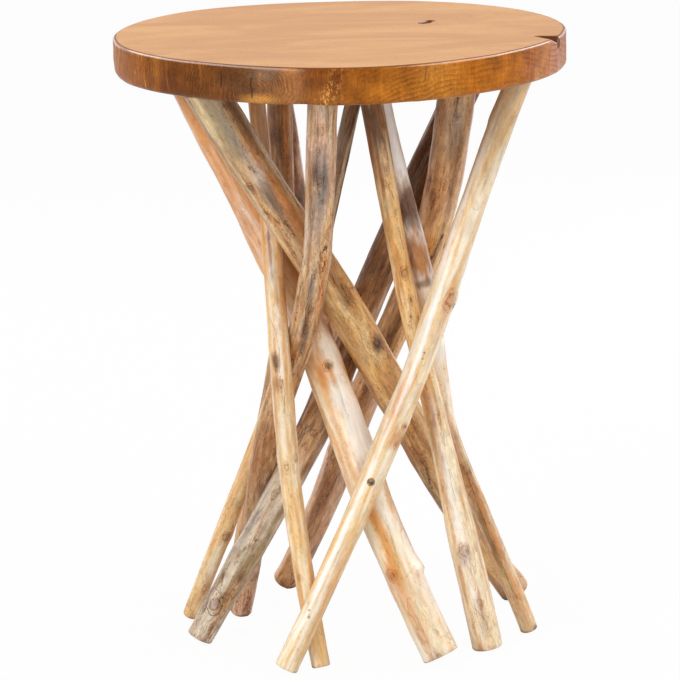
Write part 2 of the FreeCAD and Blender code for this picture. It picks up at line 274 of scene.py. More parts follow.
# %% Lamps: a name, a place, a width and height, and a power
LAMP_AIM = Vector((0, 0, 0.35))
LAMPS = (
    ("key_left", (-2.0, -2.4, 2.2), (1.1, 1.4), 52),
    ("fill_front", (1.5, -2.3, 2.0), (1.3, 1.3), 15),
    ("top_soft", (0.2, -0.2, 3.0), (1.8, 1.8), 12),
    ("side_right", (2.4, 0.7, 1.0), (0.9, 1.6), 18),
    ("back_left", (-1.8, 2.0, 1.1), (0.6, 1.6), 16),
    ("back_right", (1.2, 2.2, 0.9), (0.8, 1.4), 12),
)
for name, place, (wide, high), power in LAMPS:
    lamp = bpy.data.lights.new(name, "AREA")
    lamp.shape = "RECTANGLE"
    lamp.size, lamp.size_y, lamp.energy = wide, high, power
    holder = add_object(name, lamp)
    holder.location = place
    holder.visible_glossy = False
    holder.rotation_euler = (LAMP_AIM - Vector(place)).to_track_quat("-Z", "Y").to_euler()
print("lamps", len(LAMPS))

# %% [markdown]
# ## The rim of the slab
# The slab's outline wanders a few millimetres, and its underside rises a little towards the rim, as the tree
# left it. The tops of the branches are scribed to that underside, so both are measured before anything is made.
# %% Read the rim of the solid
SLAB_LOW, SLAB_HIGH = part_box("slab")
THICK = SLAB_HIGH.z - SLAB_LOW.z
slab_points = np.array([v.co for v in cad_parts["slab"].data.vertices])
bearings = np.degrees(np.arctan2(slab_points[:, 1], slab_points[:, 0])) % 360
reaches = np.hypot(slab_points[:, 0], slab_points[:, 1])
BINS = 180
BIN_WIDTH = 360 / BINS
in_bin = (bearings // BIN_WIDTH).astype(int)
rim_reach = np.array([reaches[in_bin == number].max() for number in range(BINS)])
WAVIEST = math.radians(200)
UNDERSIDE_LIFT = 0.0014


def reach_at(bearing):
    """How far the solid's rim stands from the middle at a bearing in radians."""
    place = math.degrees(bearing) % 360 / BIN_WIDTH - 0.5
    low = math.floor(place)
    share = place - low
    return rim_reach[low % BINS] * (1 - share) + rim_reach[(low + 1) % BINS] * share


def rim_wave(bearing):
    """How wavy the lower rim is at a bearing, and how near that is to the left front, where it waves most."""
    x, y = math.cos(bearing), math.sin(bearing)
    wave = noise.noise((x * 3.1, y * 3.1, 4.0)) + 0.5 * noise.noise((x * 9, y * 9, 7.0))
    return wave, 0.5 + 0.5 * math.cos(bearing - WAVIEST)


def underside_lift(bearing, share):
    """How far the underside rises at a bearing, at a share of the way from the middle to the rim."""
    wave, left = rim_wave(bearing)
    return share**6 * UNDERSIDE_LIFT * (0.4 + left) * max(wave, 0)


print("rim from", round(rim_reach.min(), 4), "to", round(rim_reach.max(), 4))

# %% [markdown]
# ## The paths of the branches
# A branch is a bent tube. It could be a curve object with a bevel, but a curve gives no say over single spots
# of the bark. Here each branch keeps the path that its solid has: rows of four shares from the floor up, for
# how high, how far right, how far back and how thick, and one mean girth in millimetres.
# %% Branch table
BRANCHES = {
    "long_front": (25, (
        (0, -0.30, -0.605, 0.92), (0.15, -0.11, -0.545, 0.86), (0.3, 0.075, -0.47, 0.94),
        (0.42, 0.21, -0.44, 1.05), (0.52, 0.32, -0.42, 1.0), (0.6, 0.395, -0.40, 1.08),
        (0.8, 0.58, -0.34, 1.03), (1, 0.785, -0.28, 1.02),
    )),
    "honey_right": (22, (
        (0, 0.61, -0.29, 1.39), (0.2, 0.505, -0.29, 1.36), (0.3, 0.45, -0.29, 1.12),
        (0.45, 0.37, -0.305, 0.96), (0.6, 0.285, -0.335, 0.88), (0.8, 0.20, -0.40, 0.93),
        (1, 0.115, -0.48, 1.0),
    )),
    "slim_right": (20.5, (
        (0, 0.81, -0.025, 0.83), (0.15, 0.665, -0.085, 0.94), (0.3, 0.515, -0.145, 0.98),
        (0.38, 0.445, -0.175, 1.02), (0.46, 0.41, -0.205, 1.05), (0.6, 0.37, -0.25, 1.04),
        (0.8, 0.263, -0.32, 1.01), (1, 0.16, -0.39, 1.01),
    )),
    "big_diagonal": (38, (
        (0, 0.78, 0.565, 0.77), (0.15, 0.565, 0.345, 0.86), (0.3, 0.37, 0.13, 0.95),
        (0.45, 0.19, -0.065, 0.98), (0.6, 0, -0.225, 0.985), (0.8, -0.29, -0.425, 1.0),
        (1, -0.565, -0.625, 1.07),
    )),
    "grey_centre": (28, (
        (0, -0.51, 0.365, 0.80), (0.15, -0.445, 0.185, 0.90), (0.3, -0.383, -0.005, 0.98),
        (0.4, -0.33, -0.13, 1.0), (0.5, -0.25, -0.255, 0.98), (0.6, -0.17, -0.375, 0.975),
        (0.7, -0.125, -0.49, 0.99), (0.85, -0.095, -0.66, 1.0), (1, -0.075, -0.83, 1.04),
    )),
    "thin_left": (20, (
        (0, -0.135, -0.54, 0.88), (0.1, -0.18, -0.49, 0.95), (0.25, -0.236, -0.435, 1.0),
        (0.45, -0.278, -0.40, 1.05), (0.7, -0.312, -0.325, 0.96), (0.85, -0.343, -0.27, 0.88),
        (1, -0.375, -0.215, 0.82),
    )),
    "orange_front": (37, (
        (0, 0.41, -0.50, 0.96), (0.15, 0.235, -0.42, 0.98), (0.3, 0.08, -0.328, 1.04),
        (0.4, -0.01, -0.243, 1.03), (0.5, -0.10, -0.20, 1.0), (0.6, -0.20, -0.195, 0.93),
        (0.75, -0.375, -0.205, 0.865), (1, -0.68, -0.23, 0.845),
    )),
    "grey_left": (34, (
        (0, -0.70, -0.105, 0.74), (0.15, -0.475, -0.09, 0.87), (0.3, -0.255, -0.075, 0.96),
        (0.4, -0.123, -0.067, 0.99), (0.5, -0.01, -0.038, 1.0), (0.65, 0.16, 0.02, 0.99),
        (0.8, 0.345, 0.055, 1.0), (1, 0.597, 0.095, 1.02),
    )),
    "red_right": (34, (
        (0, -0.322, 0.84, 0.765), (0.15, -0.14, 0.663, 0.89), (0.3, -0.003, 0.486, 0.96),
        (0.45, 0.136, 0.307, 0.94), (0.6, 0.293, 0.124, 0.97), (0.75, 0.415, -0.06, 1.03),
        (0.87, 0.47, -0.205, 1.08), (1, 0.508, -0.36, 1.1),
    )),
    "pale_left": (17, (
        (0, -0.742, 0.32, 1.0), (0.2, -0.54, 0.19, 1.1), (0.4, -0.344, 0.065, 1.05),
        (0.55, -0.21, -0.045, 1.02), (0.7, -0.105, -0.165, 0.98), (0.85, -0.017, -0.287, 0.93),
        (1, 0.077, -0.405, 0.88),
    )),
    "back_left": (23.5, (
        (0, -0.52, 0.74, 0.97), (0.25, -0.41, 0.64, 0.98), (0.5, -0.285, 0.52, 1.0),
        (0.75, -0.27, 0.40, 1.0), (1, -0.265, 0.285, 1.02),
    )),
    "back_middle": (23, (
        (0, 0.255, 0.75, 0.96), (0.35, 0.02, 0.55, 0.98), (0.55, -0.125, 0.49, 1.0),
        (0.75, -0.22, 0.475, 1.03), (1, -0.295, 0.42, 1.03),
    )),
}
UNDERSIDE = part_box("slab")[0].z
HALF_REACH = 0.222
FOOT_LEVELLING = 0.0008
TRIM_OVERRUN = 0.03
TO_MM = 1000
print("branches", len(BRANCHES), "up to", round(UNDERSIDE, 4))


# %% [markdown]
# ## A smooth middle line
# The rows are joined by a cubic spline whose slope never jumps, which is how a branch bends. The solids are
# made with the same kind of spline, so the dressed branches lie where their solids lie.
# %% Spline through the rows
def along_line(places, run, line):
    """The points or directions of a line at some places of its run."""
    return np.stack([np.interp(places, run, line[:, axis]) for axis in range(3)], axis=1)


def lengths(line):
    """How far each point of a line is from its start, along the line."""
    return np.concatenate([[0], np.cumsum(np.linalg.norm(np.diff(line, axis=0), axis=1))])


def smooth_line(knots, count):
    """Places spread evenly along a smooth curve through the knots."""
    knots = np.array(knots)
    at = lengths(knots)
    gap = np.diff(at)
    last = len(knots) - 1
    sums = np.zeros((last + 1, last + 1))
    slopes = np.zeros_like(knots)
    for end, part in ((0, slice(0, 4)), (last, slice(last - 3, last + 1))):
        sums[end, end] = 1
        for axis in range(3):
            slopes[end, axis] = np.polyval(np.polyder(np.polyfit(at[part], knots[part, axis], 3)), at[end])
    for i in range(1, last):
        sums[i, i - 1 : i + 2] = gap[i], 2 * (gap[i - 1] + gap[i]), gap[i - 1]
        before, after = (knots[i] - knots[i - 1]) / gap[i - 1], (knots[i + 1] - knots[i]) / gap[i]
        slopes[i] = 3 * (gap[i] * before + gap[i - 1] * after)
    slopes = np.linalg.solve(sums, slopes)
    fine = np.linspace(0, at[-1], count * 4)
    span = np.clip(np.searchsorted(at, fine) - 1, 0, last - 1)
    h = gap[span][:, None]
    t = ((fine - at[span]) / gap[span])[:, None]
    line = (2 * t**3 - 3 * t**2 + 1) * knots[span] + (t**3 - 2 * t**2 + t) * h * slopes[span]
    line += (3 * t**2 - 2 * t**3) * knots[span + 1] + (t**3 - t**2) * h * slopes[span + 1]
    run = lengths(line)
    even = np.linspace(0, run[-1], count)
    return along_line(even, run, line), even


# %% [markdown]
# ## The branch as a grid
# Rings of points stand every two millimetres along the middle line, and each ring is turned as little as it
# can be against the one below. The foot is a flat cut with a sanded edge, and the top a level cut under the
# slab.
# %% Rings of a branch
def row_point(row):
    """The point of the middle line that a row of shares stands for."""
    return np.array((row[1] * HALF_REACH, row[2] * HALF_REACH, row[0] * UNDERSIDE))


def unit(vectors):
    """The vectors with a length of one."""
    return vectors / np.linalg.norm(vectors, axis=-1, keepdims=True)


class Branch:
    """The middle line of one branch, its radius, and a grid of bark points round it."""

    SIDES = 56
    STEP = 0.002
    LINE_POINTS = 400
    FOOT_ROUND = 0.0014
    FOOT_FACE = (0.0, 0.25, 0.5, 0.75, 0.9)
    FOOT_RIM = ((0, 1.0), (0.0003, 0.4), (FOOT_ROUND, 0.0))
    TOP_FACE = (0.8, 0.4, 0)
    SMOOTH_SPAN = 10
    LEVEL_REACH = 0.03

    def __init__(self, name, seed):
        girth, rows = BRANCHES[name]
        self.name, self.seed = name, seed
        heights = [row[0] * UNDERSIDE for row in rows]
        self.radius_at = lambda z: girth / 2 / TO_MM * np.interp(z, heights, [row[3] for row in rows])
        line, run = self.middle_line(rows)
        self.place_rings(line, run)
        self.turn_rings()
        self.swell = np.zeros((len(self.run), self.SIDES + 1))
        self.lift = np.zeros_like(self.swell)
        self.fit_underside()

    def middle_line(self, rows):
        """The smooth line through the rows, from the sanded foot to a little way into the slab."""
        foot, top = row_point(rows[0]), row_point(rows[-1])
        inner = [row_point(row) for row in rows[1:-1]]
        rise = unit(inner[0] - foot)
        lift = self.radius_at(0) * math.hypot(rise[0], rise[1]) - FOOT_LEVELLING
        foot_end = foot + rise * (lift / rise[2])
        top_end = top + unit(top - inner[-1]) * TRIM_OVERRUN
        return smooth_line([foot_end, *inner, top_end], self.LINE_POINTS)

    def place_rings(self, line, run):
        """Where the rings stand, how far they are drawn in at the cut ends, and their radius."""
        face, rim, top = self.FOOT_FACE, self.FOOT_RIM, self.TOP_FACE
        length = np.interp(UNDERSIDE, line[:, 2], run)
        body = np.linspace(0, length, round(length / self.STEP))[1:]
        body = body[body > self.FOOT_ROUND * 1.5]
        self.run = np.concatenate([[0] * len(face), [s for s, _ in rim], body, [length] * len(top)])
        self.share = np.concatenate([face, np.ones(len(rim) + len(body)), top])
        self.inset = np.zeros(len(self.run))
        self.inset[len(face) : len(face) + len(rim)] = [k * self.FOOT_ROUND for _, k in rim]
        self.centre = along_line(self.run, run, line)
        self.axis = unit(along_line(self.run, run, unit(np.gradient(line, run, axis=0))))
        window = np.ones(2 * self.SMOOTH_SPAN + 1) / (2 * self.SMOOTH_SPAN + 1)
        padded = np.pad(self.radius_at(line[:, 2]), self.SMOOTH_SPAN, "edge")
        self.radius = np.interp(self.run, run, np.convolve(padded, window, "valid"))

    def turn_rings(self):
        """The way out from the middle line at every point of every ring."""
        side, sides = np.cross(self.axis[0], (0, 1, 0)), []
        for axis in self.axis:
            side = unit(side - axis * (side @ axis))
            sides.append(side)
        across = np.cross(self.axis, sides)
        self.turn = np.linspace(0, 2 * math.pi, self.SIDES + 1)
        cos, sin = np.cos(self.turn)[None, :, None], np.sin(self.turn)[None, :, None]
        self.out = cos * np.array(sides)[:, None, :] + sin * across[:, None, :]

    def fit_underside(self):
        """How level each ring is cut, and how far its points rise to the wavy underside."""
        to_top = self.run - self.run[-1] + self.LEVEL_REACH
        self.level = np.clip(to_top / self.LEVEL_REACH, 0, 1)[:, None]
        for row, column in zip(*np.nonzero(self.level + self.lift)):
            x, y = (self.centre[row] + self.out[row, column] * self.radius[row])[:2]
            bearing = math.atan2(y, x)
            share = min(math.hypot(x, y) / reach_at(bearing), 1)
            self.lift[row, column] = underside_lift(bearing, share) * self.level[row, 0]

    def bark(self):
        """The bark points, with the foot cut square and the top cut level under the slab."""
        reach = (self.radius - self.inset)[:, None] * self.share[:, None] + self.swell * self.share[:, None]
        points = self.centre[:, None, :] + self.out * reach[:, :, None]
        plane = unit(self.axis * (1 - self.level) + np.array((0, 0, 1)) * self.level)
        off = points - self.centre[:, None, :]
        slide = -np.einsum("ijk,ik->ij", off, plane) / np.einsum("ik,ik->i", self.axis, plane)[:, None]
        points = points + self.axis[:, None, :] * (slide + self.lift / self.axis[:, None, 2])[:, :, None]
        sunk = np.minimum(points[:, :, 2], 0)
        points = points - self.axis[:, None, :] * (sunk / self.axis[:, None, 2])[:, :, None]
        return points


branches = {name: Branch(name, seed) for seed, name in enumerate(BRANCHES)}
for name, branch in branches.items():
    print(name, "rings", len(branch.run), "length", round(branch.run[-1], 3))

# %% [markdown]
# ## Spots of the bark
# Each knot, stain and patch of painted light or shade sits at one spot of one branch. The spot is named by the
# pixel where it shows in the picture, and found on the branch that carries it, on the side that faces the
# camera. From there every bark point has two distances: along the branch and around it. These stay true when
# the table is seen from behind.
# %% Find a spot and measure from it
TURNED_AWAY = 1000
FAR_SPOT = 3


class Spot:
    """A place on the bark, with each bark point's distance from it along and around the branch."""

    def __init__(self, branch, x, y):
        points = branch.bark()
        px, py = picture_place(points)
        facing = np.einsum("ijk,ijk->ij", branch.out, np.array(EYE) - points) > 0
        away = np.hypot(px - x, py - y) + np.where(facing, 0, TURNED_AWAY)
        self.row, self.column = np.unravel_index(np.argmin(away), away.shape)
        self.miss = away[self.row, self.column]
        self.along = (branch.run - branch.run[self.row])[:, None] + np.zeros_like(away)
        bend = branch.turn - branch.turn[self.column]
        self.around = ((bend + math.pi) % (2 * math.pi) - math.pi)[None, :] * branch.radius[:, None]


def rough_field(branch, along, around, shift=0.0):
    """Soft random values from about -1 to 1 over the bark, the same in every run."""
    ring = np.stack([np.cos(branch.turn), np.sin(branch.turn)], axis=1) * branch.radius.mean() / around
    seed = branch.seed * 7.3 + shift
    rows = [[noise.noise((x + seed, y - seed, s / along)) for x, y in ring[:-1]] for s in branch.run]
    field = np.array(rows)
    return np.concatenate([field, field[:, :1]], axis=1)


# %% [markdown]
# ## Knots, bumps, stains, painted light and cracks
# Each branch has a short list of what the eye catches on it. A knot is (x, y, size, stretch, swell, darkness),
# a bump (x, y, length up, length down, width, height), a stain (x, y, length, width, colour, strength), and a
# crack its width and the places along it. A few of the stains are painted light and shade, as said where they
# stand. The places x and y are pixels of the picture, and all sizes are in millimetres. A crack thinner than
# 0.6 mm is drawn fainter.
# %% Colours of peeled wood, and one of painted reflection
CREAM = tone(246, 228, 194)
PALE = tone(250, 240, 224)
STRAW = tone(240, 210, 158)
HONEY = tone(232, 184, 114)
ORANGE = tone(222, 156, 94)
SALMON = tone(228, 180, 134)
AMBER = tone(206, 134, 62)
PINK = tone(218, 178, 150)
TAN = tone(210, 166, 118)
BROWN = tone(168, 118, 74)
UMBER = tone(122, 82, 50)
DARK = tone(82, 56, 38)
OLIVE = tone(170, 150, 114)
GREY = tone(150, 134, 122)
SLATE = tone(106, 93, 90)
ASH = tone(214, 198, 178)
# Painted reflection: the pale lilac sheen that the lacquer shows at grazing angles, laid on as colour.
LILAC_REFLECTION = tone(176, 152, 146)
WHITE = tone(250, 242, 234)
SAND = tone(206, 184, 152)
BUFF = tone(230, 200, 156)

# %% What shows on each branch
# The darkest tones at the top of honey_right, grey_left and pale_left, just under the slab, are partly the
# wood's own colour and partly painted shade of the slab.
COLOURS = {
    "long_front": ((0, CREAM), (0.12, BUFF), (0.5, CREAM), (0.8, CREAM), (0.92, SAND), (1, SAND)),
    "honey_right": (
        (0, CREAM), (0.15, CREAM), (0.35, CREAM), (0.5, HONEY), (0.76, HONEY), (0.88, BROWN), (1, DARK),
    ),
    "slim_right": ((0, STRAW), (0.2, TAN), (0.4, STRAW), (0.55, PALE), (0.65, WHITE), (1, WHITE)),
    "big_diagonal": (
        (0, PINK), (0.15, HONEY), (0.3, TAN), (0.45, HONEY), (0.6, HONEY), (0.75, TAN), (1, OLIVE),
    ),
    "grey_centre": ((0, PINK), (0.25, TAN), (0.45, TAN), (0.55, TAN), (0.75, TAN), (0.85, PINK), (1, TAN)),
    "thin_left": ((0, STRAW), (0.15, STRAW), (0.4, BUFF), (0.65, BUFF), (0.85, HONEY), (1, TAN)),
    "orange_front": ((0, CREAM), (0.35, CREAM), (0.5, STRAW), (0.6, SALMON), (0.8, SALMON), (1, ORANGE)),
    "grey_left": ((0, ASH), (0.12, OLIVE), (0.25, ASH), (0.4, BROWN), (0.6, BROWN), (0.75, UMBER), (1, DARK)),
    "red_right": ((0, TAN), (0.2, PINK), (0.4, TAN), (0.6, HONEY), (0.75, SALMON), (0.88, TAN), (1, BROWN)),
    "pale_left": ((0, STRAW), (0.3, STRAW), (0.5, HONEY), (0.7, UMBER), (1, DARK)),
    "back_left": ((0, TAN), (0.5, TAN), (0.8, BROWN), (1, TAN)),
    "back_middle": ((0, PINK), (0.3, TAN), (0.6, BROWN), (0.8, PINK), (1, PINK)),
}
BANDS = {
    "long_front": (PALE, HONEY, 0.7),
    "honey_right": (CREAM, AMBER, 0.6),
    "slim_right": (WHITE, ORANGE, 0.4),
    "big_diagonal": (STRAW, BROWN, 0.7),
    "grey_centre": (ASH, UMBER, 0.6),
    "thin_left": (PALE, AMBER, 0.6),
    "orange_front": (WHITE, ORANGE, 0.55),
    "grey_left": (ASH, UMBER, 0.75),
    "red_right": (SALMON, UMBER, 0.6),
    "pale_left": (CREAM, AMBER, 0.5),
    "back_left": (TAN, UMBER, 0.7),
    "back_middle": (PINK, UMBER, 0.7),
}
KNOTS = {
    "long_front": (
        (452, 300, 6, 1.5, 0.3, 0.5), (454, 308, 2, 1.5, 0.2, 0.8), (405, 427, 3, 1.2, 0.5, 0.8),
        (402, 438, 1.6, 1.2, 0.2, 1.0), (397, 446, 3, 1.3, 0.3, 0.5), (424, 352, 1.2, 1, 0, 1.0),
        (423, 358, 1.2, 1, 0, 0.9), (310, 610, 1.3, 1, 0, 1.0), (309, 617, 1.3, 1, 0, 1.0),
        (515, 118, 3, 2, 0.1, 0.5),
    ),
    "honey_right": (
        (386, 170, 2.6, 1.6, 0.3, 0.6), (385, 184, 2.4, 2, 0.3, 0.5), (404, 274, 3.4, 1.6, 0.4, 0.6),
        (411, 301, 2, 2.5, 0.2, 0.8), (411, 316, 2, 2, 0.2, 0.9), (411, 326, 2.4, 1.3, 0.2, 0.6),
        (479, 602, 3, 1.5, 0.2, 0.4), (464, 552, 5, 1.4, 0.2, 0.4),
    ),
    "slim_right": ((531, 629, 2.2, 1.3, 0, 1.0), (466, 470, 3, 2.5, 0.3, 0.5)),
    "big_diagonal": (
        (376, 342, 6, 1.2, 0.5, 0.85), (260, 176, 7, 2.2, 0.3, 0.3), (312, 308, 3, 3, 0.2, 0.6),
        (351, 299, 3, 2.5, 0.2, 0.6), (252, 188, 3, 2, 0.2, 0.7), (418, 455, 3, 3, 0.2, 0.5),
    ),
    "grey_centre": (
        (321, 130, 4, 1.2, 0.5, 0.4), (320, 181, 3, 1.8, 0.3, 0.6), (306, 330, 4, 2, 0, 0.7),
        (311, 309, 3.5, 1.6, 0, 0.6), (303, 348, 3, 2.4, 0, 0.6),
    ),
    "thin_left": (
        (276, 361, 2.2, 3.2, 0.3, 0.75), (280, 384, 2, 3, 0.2, 0.5), (296, 459, 2.8, 1.4, 0.3, 0.5),
        (287, 467, 3, 1.6, 0.2, 0.4), (270, 238, 2, 2.5, 0.1, 0.6), (300, 578, 2.4, 1.4, 0.2, 0.5),
    ),
    "orange_front": (
        (329, 365, 4.4, 1.1, 0.2, 0.85), (391, 576, 4.6, 1.2, 0.4, 0.6), (440, 655, 2, 1.5, 0, 0.5),
    ),
    "grey_left": ((214, 605, 6, 1.3, 0.8, 0.45), (241, 578, 1.8, 3, 0.1, 0.9), (228, 596, 2.6, 1.6, 0.2, 0.6)),
    "red_right": ((458, 119, 3.2, 1.2, 0.5, 0.7), (434, 197, 4, 1.6, 0.4, 0.5)),
    "pale_left": ((226, 537, 3.6, 1.4, 0.4, 0.5), (205, 590, 3, 1.5, 0.2, 0.4)),
    "back_left": ((274, 138, 4, 1.5, 0.3, 0.5),),
    "back_middle": ((285, 133, 4, 1.8, 0.3, 0.6),),
}
BUMPS = {
    "long_front": ((456, 302, 11, 7, 7, 1.7), (471, 110, 12, 6, 7, 1.0), (403, 432, 14, 10, 7, 0.8)),
    "honey_right": ((409, 280, 12, 8, 6, 0.7), (425, 362, 8, 8, 6, 0.7)),
    "slim_right": ((445, 385, 16, 8, 7, 0.8),),
    "big_diagonal": ((376, 342, 9, 9, 8, 0.9), (522, 578, 16, 14, 12, 2.2)),
    "grey_centre": ((321, 182, 12, 10, 7, 0.8), (330, 262, 16, 12, 8, 0.9)),
    "thin_left": ((296, 460, 9, 9, 6, 1.1), (270, 345, 20, 14, 7, 0.8), (275, 459, 9, 9, 6, 0.9)),
    "orange_front": (
        (424, 568, 13, 2.5, 9, 3.2), (340, 345, 12, 16, 10, 2.0), (391, 577, 8, 6, 7, 0.9),
        (256, 262, 45, 25, 14, 2.2),
    ),
    "grey_left": ((236, 548, 9, 26, 10, 1.7), (212, 604, 12, 8, 9, 1.2)),
    "red_right": ((458, 118, 8, 8, 7, 0.6),),
    "pale_left": ((232, 536, 9, 9, 6, 0.9), (205, 590, 8, 6, 5, 0.6)),
    "back_left": ((265, 120, 40, 40, 8, 1.2),),
    "back_middle": ((285, 133, 9, 8, 6, 0.7), (303, 140, 45, 45, 12, 2.4), (270, 130, 40, 40, 8, 1.2)),
}
